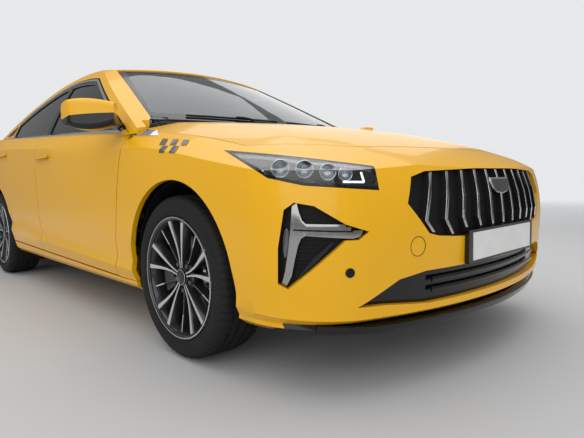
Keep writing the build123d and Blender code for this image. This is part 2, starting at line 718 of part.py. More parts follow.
bonnet_arm = lid_arm(bonnet_pin, bonnet_pin_x, [(-50, -7), (-122, -12), (-162, -8)])
bonnet = joined(bonnet, *both_sides(bonnet_arm).solids())
boot_arm = lid_arm(lid_pin, lid_pin_x, [(24, -27), (40, -32), (60, -26), (72, -10)])
boot_lid = joined(boot_lid, *both_sides(boot_arm).solids())
boot_pin = pin_across(lid_pin, (lid_pin_x - lid_arm_width / 2 - 3, 620))
rear_quarter_left = joined(rear_quarter_left, boot_pin)
ear_inner_x = bonnet_pin_x + lid_arm_width / 2 + seat_gap
bonnet_bracket = joined(block_between((ear_inner_x, ear_inner_x + 8),
                                      (bonnet_pin[0] - 15, bonnet_pin[0] + 7), (920, bonnet_pin[1] + 12)),
                        pin_across(bonnet_pin, (bonnet_pin_x - lid_arm_width / 2 - 3, ear_inner_x + 4)))

# The grille: a panel with upright bars that bend at the widest line, set in the bumper.
grille_bar_count = 11
grille_pitch = 94
grille_bar_half = 7
grille_top_z = grille_points[0][1]
grille_bend_z = 566
grille_foot_z = 490
bar_head, bar_foot = 0.88, 0.87
grille_wide_x = max(x for x, z in grille_points)
grille_opening = polygon(mirrored(grille_points), -seat_gap)
with BuildSketch() as grille_gaps:
    add(grille_opening)
    for i in range(grille_bar_count):
        bar_x = grille_pitch * (i - (grille_bar_count - 1) / 2)
        head_x, foot_x = bar_head * bar_x, bar_foot * bar_x
        with BuildLine():
            Polyline((head_x - grille_bar_half, grille_top_z + 1), (head_x + grille_bar_half, grille_top_z + 1),
                     (bar_x + grille_bar_half, grille_bend_z), (foot_x + grille_bar_half, grille_foot_z),
                     (foot_x - grille_bar_half, grille_foot_z), (bar_x - grille_bar_half, grille_bend_z), close=True)
        make_face(mode=Mode.SUBTRACT)
nose_front = (-far_y, nose_y + 250)
grille_zone = block_between((-grille_wide_x - 18, grille_wide_x + 18), nose_front, (grille_foot_z - 10, grille_top_z + 22))
grille = kept(shell(kept(inside_bars, grille_zone), kept(inside_wall, grille_zone)),
              rearward(grille_opening, nose_front), plate_recess,
              shell(rearward(grille_gaps.sketch, nose_front), kept(inside_sheet, grille_zone)))

insert_stock = kept(inside_sheet, nose, inside_lamp)
lower_grille = kept(insert_stock, rearward(polygon(mirrored(lower_grille_points), -seat_gap),
                                           (-far_y, nose_y + 400)))
vent_left = kept(insert_stock, lamp_plane_block(vent_points, -seat_gap),
                 block_between((-1100, 0), (-far_y, far_y), (0, far_z)))
vents = both_sides(vent_left)

plate_w, plate_d, plate_h = plate_size
with BuildPart() as front_plate:
    with Locations((0, nose_y + plate_d / 2, plate_z)):
        Box(plate_w, plate_d, plate_h)
with BuildPart() as front_plate_frame:
    with Locations((0, nose_y + plate_d + frame_d / 2, plate_z)):
        Box(frame_w, frame_d, frame_h)

# Wheels. One tyre and one rim are drawn about their own centre, with the hub face outboard (+X on the left).
rim_offset = 45
hub_bore_r = 28
barrel_r = 214
barrel_wall = 6
spoke_count = 5
spoke_inner_r = 62
cap_r = 34

with BuildPart() as tyre:
    with BuildSketch(Plane.XZ):
        half_tread = tyre_width / 2
        with BuildLine():
            bead_x = rim_width / 2 - seat_gap
            Line((-bead_x, bead_r), (-bead_x, rim_flange_r + 1))
            ThreePointArc((-bead_x, rim_flange_r + 1), (-half_tread, (rim_flange_r + tyre_r) / 2 - 2),
                          (-half_tread + 8, tyre_r - 24))
            ThreePointArc((-half_tread + 8, tyre_r - 24), (-half_tread + 16, tyre_r - 8), (-half_tread + 34, tyre_r - 2))
            ThreePointArc((-half_tread + 34, tyre_r - 2), (0, tyre_r), (half_tread - 34, tyre_r - 2))
            ThreePointArc((half_tread - 34, tyre_r - 2), (half_tread - 16, tyre_r - 8), (half_tread - 8, tyre_r - 24))
            ThreePointArc((half_tread - 8, tyre_r - 24), (half_tread, (rim_flange_r + tyre_r) / 2 - 2),
                          (bead_x, rim_flange_r + 1))
            Polyline((bead_x, rim_flange_r + 1), (bead_x, bead_r), (-bead_x, bead_r))
        make_face()
    revolve(axis=Axis.X)

def spoke(angle_in, angle_out, inner_half, outer_half):
    inner_r, outer_r = spoke_inner_r - 6, barrel_r + 3
    along_in, along_out = math.radians(angle_in), math.radians(angle_out)
    root = (inner_r * math.cos(along_in), inner_r * math.sin(along_in))
    end = (outer_r * math.cos(along_out), outer_r * math.sin(along_out))
    run = math.dist(root, end)
    side = ((root[1] - end[1]) / run, (end[0] - root[0]) / run)
    return [(root[0] + side[0] * inner_half, root[1] + side[1] * inner_half),
            (end[0] + side[0] * outer_half, end[1] + side[1] * outer_half),
            (end[0] - side[0] * outer_half, end[1] - side[1] * outer_half),
            (root[0] - side[0] * inner_half, root[1] - side[1] * inner_half)]


with BuildPart() as wheel:
    with BuildSketch(Plane.XZ):
        rim_edge = rim_width / 2
        Polygon((-rim_edge, bead_r - seat_gap), (-rim_edge, rim_flange_r), (-rim_edge - 7, rim_flange_r),
                (-rim_edge - 7, barrel_r), (rim_edge + 7, barrel_r), (rim_edge + 7, rim_flange_r),
                (rim_edge, rim_flange_r), (rim_edge, bead_r - seat_gap), align=None)
    revolve(axis=Axis.X)
    for arm in range(spoke_count):
        with BuildSketch(Plane.YZ.offset(rim_offset + 17)):
            turn = 90 + arm * 360 / spoke_count
            Polygon(*spoke(turn - 11, turn - 13, 6, 13), align=None)
            Polygon(*spoke(turn + 11, turn + 13, 6, 13), align=None)
            Polygon(*spoke(turn + 36, turn + 36, 6, 5), align=None)
        extrude(amount=26)
    with BuildSketch(Plane.YZ.offset(rim_offset)):
        Circle(spoke_inner_r)
    extrude(amount=40)
    with BuildSketch(Plane.YZ.offset(rim_offset - 8)):
        Circle(72)
    extrude(amount=8)
    with BuildSketch(Plane.YZ.offset(rim_offset - 8 - disc_thickness - 20)):
        Circle(70)
    extrude(amount=disc_thickness + 20)
    with BuildSketch(Plane.YZ.offset(rim_offset - 8 - disc_thickness)):
        Circle(disc_r)
    extrude(amount=disc_thickness)
    with BuildSketch(Plane.YZ.offset(rim_offset - 80)):
        Circle(hub_bore_r)
    extrude(amount=100, mode=Mode.SUBTRACT)

disc_inner_x = wheel_x + rim_offset - 8 - disc_thickness
spindle_r = hub_bore_r - 0.5


def wheel_carrier(axle_y):
    calliper_inner_r, calliper_outer_r = 108, 186
    with BuildPart() as carrier:
        with BuildSketch(Plane.YZ.offset(disc_inner_x - 90)):
            with Locations((axle_y, tyre_r)):
                Circle(62)
        extrude(amount=60)
        with BuildSketch(Plane.YZ.offset(disc_inner_x - 90)):
            with Locations((axle_y, tyre_r)):
                Circle(spindle_r)
        extrude(amount=126)
        with BuildSketch(Plane.YZ.offset(disc_inner_x - 70)):
            with Locations((axle_y, tyre_r)):
                Rectangle(70, 230)
        extrude(amount=40)
        with BuildSketch(Plane.YZ.offset(disc_inner_x - 42)):
            with Locations((axle_y, tyre_r)):
                Circle(calliper_outer_r)
                Circle(calliper_inner_r, mode=Mode.SUBTRACT)
                Polygon((0, 0), (400, 210), (400, 400), (-400, 400), (-400, -400), (400, -400), (400, -210),
                        align=None, mode=Mode.SUBTRACT)
        extrude(amount=42 + disc_thickness + 20)
        with BuildSketch(Plane.YZ.offset(disc_inner_x - 5)):
            with Locations((axle_y, tyre_r)):
                Circle(disc_r + 6)
                Circle(40, mode=Mode.SUBTRACT)
        extrude(amount=disc_thickness + 10, mode=Mode.SUBTRACT)
        with BuildSketch(Plane.YZ.offset(disc_inner_x - 42)):
            with Locations((axle_y + 85, tyre_r)):
                Rectangle(110, 60)
        extrude(amount=20)
    return carrier.part


front_carrier_left = wheel_carrier(front_axle_y)

# The front suspension and its crossmember.
arm_z = (tyre_r - 130, tyre_r - 115.3)
strut_r = 52
crossmember_top_z = 300
with BuildPart() as front_arm_left:
    with BuildSketch(Plane.XY.offset(arm_z[0])):
        Polygon((360, front_axle_y - 150), (600, front_axle_y - 60), (kingpin_x, front_axle_y - 35),
                (kingpin_x + 25, front_axle_y), (kingpin_x, front_axle_y + 35), (600, front_axle_y + 60),
                (360, front_axle_y + 150), align=None)
    extrude(amount=arm_z[1] - arm_z[0])
    with BuildSketch(Plane.XY.offset(arm_z[1])):
        with Locations((560, front_axle_y)):
            Circle(strut_r)
    extrude(amount=tyre_r + math.sqrt((arch_r - liner_wall) ** 2 - strut_r ** 2) - seat_gap - arm_z[1])
with BuildPart() as front_crossmember:
    with Locations((0, front_axle_y, crossmember_top_z - 50)):
        Box(2 * 400, 260, 100)
front_suspension = joined(front_crossmember.part, front_arm_left.part, right_of(front_arm_left.part))

with BuildPart() as rear_arm_left:
    with BuildSketch(Plane.XY.offset(arm_z[0])):
        Polygon((300, rear_axle_y - 150), (kingpin_x - 60, rear_axle_y - 60), (kingpin_x, rear_axle_y - 25), (kingpin_x, rear_axle_y + 25),
                (kingpin_x - 60, rear_axle_y + 60), (300, rear_axle_y + 150), align=None)
    extrude(amount=28)
    with BuildSketch(Plane.XY.offset(arm_z[0] + 28)):
        with Locations((540, rear_axle_y)):
            Circle(55)
    extrude(amount=420)
with BuildPart() as rear_crossmember:
    with Locations((0, rear_axle_y, crossmember_top_z - 52.5)):
        Box(2 * 400, 260, 105)
rear_carrier_left = wheel_carrier(rear_axle_y)
rear_suspension = joined(rear_crossmember.part, rear_arm_left.part, right_of(rear_arm_left.part),
                         rear_carrier_left, right_of(rear_carrier_left))

# The floor, the sills, the pillars and the walls inside.
floor_z = (200, 225)
sill_inner_x = 640
with BuildPart() as floor:
    with Locations((0, (front_axle_y + 400 + rear_axle_y - 420) / 2, (floor_z[0] + floor_z[1]) / 2)):
        Box(2 * sill_inner_x - 2 * seat_gap, rear_axle_y - front_axle_y - 820, floor_z[1] - floor_z[0])
sill_left = joined(
    kept(outer_lower, across(polygon([(front_axle_y + 386, 100), (rear_axle_y - 386, 100),
                                      (rear_axle_y - 386, 298 - 5), (door_foot_front[0] + 6, door_foot_front[1] - 5),
                                      (front_axle_y + 386, sill_top_z - 2)]), (sill_inner_x, 1100)), arch_cut),
    block_between((sill_inner_x, pillar_outer_x), (front_axle_y + 400, rear_axle_y - 400), (210, 350)))
hinge_pillar_left = joined(block_between((700, pillar_outer_x), (front_axle_y + 400, front_axle_y + 470), (350.3, 922)),
                           bonnet_bracket)
centre_pillar_left = block_between((740, pillar_outer_x), (door_split_y - 90, door_split_y + 60), (350.3, 900))
bulkhead = shell(block_between((-698, 698), (front_axle_y + 440, front_axle_y + 470), (floor_z[1] + seat_gap, 900)),
                 both_sides(block_between((sill_inner_x - seat_gap, 1100), (-far_y, far_y), (0, 350 + seat_gap))))
cowl = kept(joined(kept(inside_sheet, block_between((-900, 900), (-1400, -900), (800, 1100))), glass_seat),
            block_between((-690, 690), (front_axle_y + 300, front_axle_y + 520), (900.3, 1100)),
            upward(bonnet_sketch(8)), both_sides(roof_rail_left),
            block_between((-1100, 1100), (front_axle_y + 470.7, far_y), (0, 940)))
deck_underside_z = 1097
deck_rail = kept(joined(kept(outer_lower, tail), outer_cabin),
                 block_between((-back_foot_x, back_foot_x), (rear_axle_y + 560, rear_axle_y + 700),
                               (960, 1200)),
                 upward(back_sketch), upward(lid_sketch(seam_gap + 8)),
                 both_sides(block_between((lid_front_corner[0] - seat_gap, 1100), (-far_y, far_y), (0, far_z))),
                 both_sides(block_between((lid_pin_x - 20, 1100), (-far_y, far_y), (0, deck_underside_z))))
parcel_shelf = joined(block_between((-598, 598), (rear_axle_y + 20, rear_axle_y + 600), (985, 1000)), deck_rail)
rail_x = (380, 440)
rail_z = (crossmember_top_z + seat_gap, 340 - seat_gap)
front_rails = both_sides(block_between(rail_x, (front_axle_y - 690, front_axle_y + 440 - seat_gap), rail_z))
front_beam = block_between((-500, 500), (front_axle_y - 730, front_axle_y - 690), rail_z)
heel_y = rear_axle_y - 700
heel_board = block_between((-600, 600), (heel_y, heel_y + 16), (floor_z[1] + seat_gap, rail_z[1]))
rear_rails = both_sides(block_between(rail_x, (heel_y + 16, tail_y - 180), rail_z))
chassis_rails = Compound(joined(front_beam, *front_rails.solids()).solids()
                         + joined(heel_board, *rear_rails.solids()).solids())
boot_floor = block_between((-560, 560), (rear_axle_y + 150, tail_y - 150), (340, 356))

with BuildPart() as liner_front_left:
    with BuildSketch(Plane.YZ.offset(front_arch_inner_x)):
        with Locations((front_axle_y, tyre_r)):
            Circle(arch_r - seat_gap)
            Circle(arch_r - liner_wall, mode=Mode.SUBTRACT)
            with Locations((0, -350)):
                Rectangle(1000, 500, mode=Mode.SUBTRACT)
    extrude(amount=380)
with BuildPart() as liner_rear_left:
    with BuildSketch(Plane.YZ.offset(rear_arch_inner_x)):
        with Locations((rear_axle_y, tyre_r)):
            Circle(arch_r - seat_gap)
            Circle(arch_r - liner_wall, mode=Mode.SUBTRACT)
            with Locations((0, -350)):
                Rectangle(1000, 500, mode=Mode.SUBTRACT)
    extrude(amount=880 - rear_arch_inner_x)
    with BuildSketch(Plane.YZ.offset(rear_arch_inner_x)):
        with Locations((rear_axle_y, tyre_r)):
            Circle(arch_r - seat_gap)
            with Locations((0, -350)):
                Rectangle(1000, 500, mode=Mode.SUBTRACT)
    extrude(amount=liner_wall)
liners = both_sides(joined(liner_front_left.part, liner_rear_left.part))

engine = block_between((-340, 340), (front_axle_y - 380, front_axle_y + 180), (crossmember_top_z + seat_gap, 830))
dashboard = block_between((-735, 735), (front_axle_y + 471, front_axle_y + 800), (640, 930))
console = block_between((-110, 110), (front_axle_y + 800, front_axle_y + 1500), (225.3, 560))


def seat_outline(y, width_of_seat, x, foot_z):
    with BuildPart() as seat:
        with BuildSketch(Plane.YZ.offset(x - width_of_seat / 2)):
            with BuildLine():
                Polyline((y, foot_z), (y, 440), (y + 460, 400), (y + 640, 960), (y + 740, 960), (y + 600, 400),
                         (y + 580, foot_z), close=True)
            make_face()
            fillet(vertices(), 30)
        extrude(amount=width_of_seat)
    return seat.part


front_seats = both_sides(seat_outline(front_axle_y + 1020, 500, 370, floor_z[1] + seat_gap))
rear_seat = seat_outline(rear_axle_y - 740, 1240, 0, rail_z[1] + seat_gap)

wheel_hub = (370, front_axle_y + 900, 800)
column_tilt = 25
steering_plane = Plane(origin=wheel_hub, x_dir=(1, 0, 0),
                       z_dir=(0, math.cos(math.radians(column_tilt)), math.sin(math.radians(column_tilt))))
with BuildPart() as steering_wheel:
    with BuildSketch(Plane(origin=steering_plane.from_local_coords((185, 0, 0)), x_dir=steering_plane.x_dir,
                           z_dir=steering_plane.y_dir)):
        Circle(15)
    revolve(axis=Axis(steering_plane.origin, steering_plane.z_dir))
    with BuildSketch(steering_plane.offset(-12)):
        Rectangle(360, 34)
        with Locations((0, -90)):
            Rectangle(40, 170)
        Circle(62)
    extrude(amount=20)
    with BuildSketch(steering_plane.offset(-60)):
        Circle(28)
    extrude(amount=50)
with BuildPart() as column:
    with BuildSketch(steering_plane.offset(-61)):
        Circle(40)
    extrude(amount=-120)

exhaust_y = (front_axle_y + 200, rear_axle_y + 950)
with BuildPart() as exhaust:
    with BuildSketch(Plane.XZ.offset(-exhaust_y[0])):
        with Locations((0, 165)):
            Circle(30)
    extrude(amount=-(exhaust_y[1] - exhaust_y[0]))
    with Locations((0, rear_axle_y + 700, 230)):
        Box(900, 260, 2 * (crossmember_top_z - 230))

pieces = {
    "front_door_left": front_door_left, "front_door_right": right_of(front_door_left),
    "rear_door_left": rear_door_left, "rear_door_right": right_of(rear_door_left),
    "front_window_left": front_door_glass_left, "front_window_right": right_of(front_door_glass_left),
    "rear_window_left": rear_door_glass_left, "rear_window_right": right_of(rear_door_glass_left),
    "mirror_left": mirror_left, "mirror_right": right_of(mirror_left),
    "bonnet": bonnet, "front_fenders": both_sides(front_fender_left), "front_bumper": front_bumper,
    "headlamps": headlamps, "rear_quarters": both_sides(rear_quarter_left), "boot_lid": boot_lid,
    "tail_lamps": tail_lamps, "boot_lamp": boot_lamp, "rear_bumper": rear_bumper,
    "roof_rails": both_sides(roof_rail_left), "roof": roof, "windscreen": windscreen,
    "back_window": back_window, "quarter_windows": quarter_windows, "grille": grille,
    "lower_grille": lower_grille, "bumper_vents": vents, "number_plate": front_plate.part,
    "plate_frame": front_plate_frame.part, "front_suspension": front_suspension,
    "rear_suspension": rear_suspension, "floor": floor.part, "chassis_rails": chassis_rails, "sills": both_sides(sill_left),
    "door_hinges": door_hinges, "hinge_pillars": both_sides(hinge_pillar_left), "centre_pillars": both_sides(centre_pillar_left),
    "bulkhead": bulkhead, "cowl": cowl, "parcel_shelf": parcel_shelf, "boot_floor": boot_floor,
    "wheel_liners": liners, "engine": engine, "dashboard": joined(dashboard, console, column.part),
    "front_seats": front_seats, "rear_seat": rear_seat, "steering_wheel": steering_wheel.part,
    "exhaust": exhaust.part, "knuckle_left": front_carrier_left, "knuckle_right": right_of(front_carrier_left),
}
for end, axle_y in (("front", front_axle_y), ("rear", rear_axle_y)):
    tyre_left = Pos(wheel_x, axle_y, tyre_r) * tyre.part
    wheel_left = Pos(wheel_x, axle_y, tyre_r) * wheel.part
    pieces[f"{end}_tyre_left"] = tyre_left
    pieces[f"{end}_tyre_right"] = right_of(tyre_left)
    pieces[f"{end}_wheel_left"] = wheel_left
    pieces[f"{end}_wheel_right"] = right_of(wheel_left)
for name, piece in pieces.items():
    save(piece, name)
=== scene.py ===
import math
import bmesh
import bpy
from mathutils import Matrix, Vector


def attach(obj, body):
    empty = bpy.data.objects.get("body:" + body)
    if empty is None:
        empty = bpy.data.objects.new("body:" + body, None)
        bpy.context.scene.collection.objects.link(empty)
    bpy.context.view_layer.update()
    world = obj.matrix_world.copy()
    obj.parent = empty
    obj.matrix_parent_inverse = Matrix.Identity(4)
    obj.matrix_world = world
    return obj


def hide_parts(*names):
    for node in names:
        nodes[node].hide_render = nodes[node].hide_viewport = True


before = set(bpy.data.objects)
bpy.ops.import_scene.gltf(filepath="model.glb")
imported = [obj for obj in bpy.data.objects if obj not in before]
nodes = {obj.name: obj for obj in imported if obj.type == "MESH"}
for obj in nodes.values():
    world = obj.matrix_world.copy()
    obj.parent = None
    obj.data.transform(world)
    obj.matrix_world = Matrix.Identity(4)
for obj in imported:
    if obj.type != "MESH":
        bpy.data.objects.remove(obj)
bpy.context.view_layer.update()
print("frame loaded:", len(nodes), "nodes")


# Shader maths: one wrapped socket, so that materials are written as expressions.
class Wire:
    def __init__(self, tree, socket):
        self.tree = tree
        self.socket = socket

    def maths(self, operation, *others):
        node = self.tree.nodes.new("ShaderNodeMath")
        node.operation = operation
        for slot, value in zip(node.inputs, (self, *others)):
            plug(self.tree, slot, value)
        return Wire(self.tree, node.outputs[0])

    def __add__(self, other):
        return self.maths("ADD", other)

    def __mul__(self, other):
        return self.maths("MULTIPLY", other)

    def __sub__(self, other):
        return self.maths("SUBTRACT", other)

    def __truediv__(self, other):
        return self.maths("DIVIDE", other)

    def __rsub__(self, other):
        return self.maths("MULTIPLY", -1.0).maths("ADD", other)


def plug(tree, slot, value):
    if isinstance(value, Wire):
        tree.links.new(value.socket, slot)
    else:
        slot.default_value = (*value, 1.0) if isinstance(value, tuple) else value


socketLabels = {"ior": "IOR", "specular": "Specular IOR Level"}


def labelOf(name):
    # The shader's own label of a socket: coatWeight is Coat Weight.
    spaced = "".join(" " + letter if letter.isupper() else letter for letter in name)
    return socketLabels.get(name) or spaced.title()


class Finish:
    def __init__(self, name, **sockets):
        self.material = bpy.data.materials.new(name)
        self.material.use_nodes = True
        self.tree = self.material.node_tree
        self.put(**sockets)

    def put(self, **sockets):
        shader = self.tree.nodes["Principled BSDF"]
        for name, value in sockets.items():
            plug(self.tree, shader.inputs[labelOf(name)], value)
        return self

    def node(self, kind, sockets=None, output=0, **settings):
        node = self.tree.nodes.new("ShaderNode" + kind)
        for key, value in settings.items():
            setattr(node, key, value)
        for key, value in (sockets or {}).items():
            plug(self.tree, node.inputs[key], value)
        return Wire(self.tree, node.outputs[output])

    def place(self):
        return self.node("TexCoord", output="Object")

    def noise(self, scale, detail=2.0, roughness=0.5):
        return self.node("TexNoise", {"Vector": self.place(), "Scale": scale, "Detail": detail,
                                      "Roughness": roughness})

    def mix(self, factor, a, b):
        # In the Mix node the colours are sockets 6 and 7, and their mixture is output 2.
        return self.node("Mix", {0: factor, 6: a, 7: b}, 2, data_type="RGBA")

    def bump(self, height, strength, distance):
        return self.put(normal=self.node("Bump", {"Height": height, "Strength": strength, "Distance": distance}))


def shaded(colour, share):
    return tuple(channel * share for channel in colour)


def grained(name, colour, roughness, grain=900.0, depth=0.00012, strength=0.6, **sockets):
    finish = Finish(name, roughness=roughness, **sockets)
    fine = finish.noise(grain, 3.0)
    broad = finish.noise(14.0, 3.0)
    finish.put(baseColor=finish.mix(broad, shaded(colour, 0.82), colour),
               roughness=fine * 0.12 + (roughness - 0.06))
    finish.bump(fine, strength, depth)
    return finish.material


def brushed(name, colour, roughness, scale):
    finish = Finish(name, metallic=1.0)
    lines = finish.noise(scale, 3.0, 0.6)
    finish.put(baseColor=finish.mix(lines, shaded(colour, 0.86), colour),
               roughness=lines * 0.14 + (roughness - 0.07))
    finish.bump(lines, 0.15, 0.0001)
    return finish.material


# Body paint: warm golden yellow under a clear coat, with fine flakes and a trace of orange peel.
paint = {"deep": (0.76, 0.375, 0.001), "light": (0.88, 0.47, 0.002), "flakeScale": 2400.0, "peelScale": 260.0}


def mixPaint(name):
    finish = Finish(name, metallic=0.0, roughness=0.34, specular=0.3, coatWeight=0.4, coatRoughness=0.05)
    flakes = finish.node("TexVoronoi", {"Vector": finish.place(), "Scale": paint["flakeScale"]}, "Color")
    tone = finish.node("SeparateColor", {"Color": flakes})
    peel = finish.noise(paint["peelScale"], 1.0)
    finish.put(baseColor=finish.mix(tone * 0.5 + 0.25, paint["deep"], paint["light"]),
               roughness=tone * 0.12 + 0.28)
    finish.bump(peel, 0.03, 0.0002)
    return finish.material


def glossy(name, colour):
    finish = Finish(name, baseColor=colour, specular=0.35, coatWeight=0.25, coatRoughness=0.03)
    return finish.put(roughness=finish.noise(30.0) * 0.06 + 0.08).material


bodyPaint = mixPaint("Golden paint")
pianoBlack = glossy("Gloss black", (0.004, 0.004, 0.0045))
grainBlack = grained("Grained black plastic", (0.01, 0.01, 0.0105), 0.55, specular=0.2)
linerFelt = grained("Arch liner felt", (0.007, 0.007, 0.007), 0.92, 420.0, 0.0006, 0.8, specular=0.15)
underSteel = grained("Underbody steel", (0.03, 0.03, 0.032), 0.6, 300.0)
castSteel = grained("Cast steel", (0.16, 0.155, 0.15), 0.55, 420.0, 0.0003, 0.7, metallic=0.8)
chrome = brushed("Bright chrome", (0.86, 0.87, 0.88), 0.11, 90.0)
darkChrome = brushed("Dark chrome", (0.44, 0.43, 0.42), 0.14, 90.0)
satinChrome = brushed("Satin chrome", (0.72, 0.73, 0.75), 0.26, 200.0)
machined = brushed("Machined alloy", (0.8, 0.81, 0.83), 0.24, 420.0)
rimPaint = grained("Dark rim paint", (0.035, 0.037, 0.041), 0.3, 800.0, 0.00003, 0.2, metallic=0.6,
                   coatWeight=0.8)
discSteel = brushed("Brake disc", (0.42, 0.42, 0.43), 0.3, 300.0)
plateWhite = grained("Blank plate", (0.82, 0.82, 0.8), 0.32, 300.0, 0.00002, 0.2, coatWeight=0.5)
cabinBlack = grained("Cabin plastic", (0.022, 0.022, 0.024), 0.6, 700.0, 0.0003, 0.8)
headliner = grained("Headliner", (0.3, 0.29, 0.28), 0.9, 480.0, 0.0004, 0.6)
leather = grained("Black leather", (0.018, 0.018, 0.019), 0.48, 340.0, 0.0004, 0.5)
carpet = grained("Carpet", (0.02, 0.02, 0.021), 0.95, 520.0, 0.001, 1.0)
decalGrey = grained("Grey decal", (0.085, 0.082, 0.08), 0.4, 500.0, 0.00001, 0.1, coatWeight=0.7)
sealRubber = grained("Seal rubber", (0.012, 0.012, 0.012), 0.7, 600.0, 0.0001, 0.4)
hotPipe = brushed("Exhaust steel", (0.38, 0.36, 0.33), 0.4, 80.0)


def glowing(name, emission, strength, roughness, deep, light):
    finish = Finish(name, emissionColor=emission, emissionStrength=strength, roughness=roughness)
    finish.put(baseColor=finish.mix(finish.noise(300.0), deep, light))
    return finish.material


def tint(name, colour, transmission, roughness=0.0, **sockets):
    finish = Finish(name, baseColor=colour, transmissionWeight=transmission, roughness=roughness, ior=1.5,
                    **sockets)
    finish.put(roughness=finish.noise(60.0) * 0.01 + roughness)
    return finish.material


sideGlass = tint("Tinted side glass", (0.085, 0.095, 0.1), 0.92)
screenGlass = tint("Windscreen glass", (0.3, 0.35, 0.36), 0.95)
lampClear = tint("Clear lamp cover", (0.93, 0.95, 0.96), 1.0)
redLens = tint("Red lamp cover", (0.42, 0.008, 0.006), 0.55, 0.04, coatWeight=1.0)
print("finishes ready")


# Mesh helpers.
def chooseOnly(piece):
    for other in bpy.context.selected_objects:
        other.select_set(False)
    bpy.context.view_layer.objects.active = piece
    piece.select_set(True)


def selectAll():
    bpy.ops.mesh.select_all(action="SELECT")


def editing(piece, mode="VERT"):
    chooseOnly(piece)
    bpy.ops.object.mode_set(mode="EDIT")
    bpy.ops.mesh.select_mode(type=mode)
    selectAll()


def done():
    bpy.ops.object.mode_set(mode="OBJECT")


def flipped(piece):
    editing(piece)
    bpy.ops.mesh.flip_normals()
    done()


def cutAlong(piece, spot, normal, **settings):
    editing(piece)
    bpy.ops.mesh.bisect(plane_co=spot, plane_no=normal, **settings)
    done()


def deepened(piece, depth):
    # A flat outline becomes a closed block.
    editing(piece, "FACE")
    bpy.ops.mesh.extrude_region_move(TRANSFORM_OT_translate={"value": Vector(depth)})
    selectAll()
    bpy.ops.mesh.normals_make_consistent(inside=False)
    done()
    return piece


def modify(piece, kind, **settings):
    chooseOnly(piece)
    modifier = piece.modifiers.new(kind.title(), kind)
    for key, value in settings.items():
        setattr(modifier, key, value)
    bpy.ops.object.modifier_apply(modifier=modifier.name)
    return piece


def softShade(piece, degrees=32):
    chooseOnly(piece)
    bpy.ops.object.shade_smooth_by_angle(angle=math.radians(degrees))
    return piece


def settle(piece):
    chooseOnly(piece)
    bpy.ops.object.transform_apply(location=True, rotation=True, scale=True)
    return piece


def dress(piece, name, material, body, slot, *replaced):
    piece.name = name
    piece.data.name = name
    if material:
        inMaterial(piece, material)
    settle(piece)
    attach(piece, body)
    if replaced:
        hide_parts(*replaced)
    return piece


def fit(piece, name, material, slot="black_plastic", degrees=32, body="body"):
    return dress(softShade(piece, degrees), name, material, body, slot)


def paintWhere(piece, material, picks):
    # The faces that picks chooses get the material.
    piece.data.materials.append(material)
    for polygon in piece.data.polygons:
        if picks(polygon):
            polygon.material_index = len(piece.data.materials) - 1


def inMaterial(piece, material):
    piece.data.materials.clear()
    piece.data.materials.append(material)


def copyOf(piece, name):
    twin = piece.copy()
    twin.data = piece.data.copy()
    twin.name = name
    twin.parent = None
    for key in list(twin.keys()):
        del twin[key]
    bpy.context.scene.collection.objects.link(twin)
    return twin


def joinAll(pieces):
    chooseOnly(pieces[0])
    for piece in pieces[1:]:
        piece.select_set(True)
    bpy.ops.object.join()
    return pieces[0]


def outline(points, place):
    # A filled ring of points; place turns each (u, v) into a point in metres.
    bpy.ops.mesh.primitive_circle_add(vertices=len(points), fill_type="NGON")
    piece = bpy.context.object
    for vertex, point in zip(piece.data.vertices, points):
        vertex.co = Vector(place(*point))
    return piece


def edged(piece, width, degrees=30, segments=2):
    return modify(piece, "BEVEL", width=width, segments=segments, limit_method="ANGLE",
                  angle_limit=math.radians(degrees))


def slab(points, place, depth, bevel):
    return edged(deepened(outline(points, place), depth), bevel, 40)


def lathe(profile, steps):
    # Spins a ring of (x, radius) points about an axis across the car.
    bpy.ops.mesh.primitive_circle_add(vertices=len(profile), fill_type="NOTHING")
    piece = bpy.context.object
    for vertex, (x, radius) in zip(piece.data.vertices, profile):
        vertex.co = (x, 0, radius)
    editing(piece)
    bpy.ops.mesh.spin(steps=steps, angle=2 * math.pi, center=(0, 0, 0), axis=(1, 0, 0))
    selectAll()
    bpy.ops.mesh.remove_doubles(threshold=0.00005)
    bpy.ops.mesh.normals_make_consistent(inside=False)
    done()
    return piece


def pipe(points, radius, order=3):
    curve = bpy.data.curves.new("pipe", "CURVE")
    curve.dimensions = "3D"
    curve.bevel_depth = radius
    curve.bevel_resolution = 3
    curve.use_fill_caps = True
    line = curve.splines.new("NURBS")
    line.points.add(len(points) - 1)
    for spot, point in zip(line.points, points):
        spot.co = (*point, 1.0)
    line.order_u = order
    line.use_endpoint_u = True
    line.resolution_u = 6
    piece = bpy.data.objects.new("pipe", curve)
    bpy.context.scene.collection.objects.link(piece)
    chooseOnly(piece)
    bpy.ops.object.convert(target="MESH")
    return bpy.context.object


def merged(node):
    piece = copyOf(nodes[node], node)
    editing(piece)
    bpy.ops.mesh.customdata_custom_splitnormals_clear()
    bpy.ops.mesh.remove_doubles(threshold=0.00006)
    done()
    return piece


def without(piece, kind, picks):
    # Deletes the vertices or faces ("verts" or "faces") that picks chooses.
    mesh = bmesh.new()
    mesh.from_mesh(piece.data)
    bmesh.ops.delete(mesh, geom=[part for part in getattr(mesh, kind) if picks(part)], context=kind.upper())
    mesh.to_mesh(piece.data)
    mesh.free()
    return piece


def gridded(piece, low, high, cell):
    # Cuts a flat outline into cells, so that it can bend.
    editing(piece, "FACE")
    for axis in range(3):
        count = int((high[axis] - low[axis]) / cell)
        for step in range(1, count + 1):
            spot, normal = [0, 0, 0], [0, 0, 0]
            spot[axis] = low[axis] + step * cell
            normal[axis] = 1
            selectAll()
            bpy.ops.mesh.bisect(plane_co=spot, plane_no=normal)
    done()


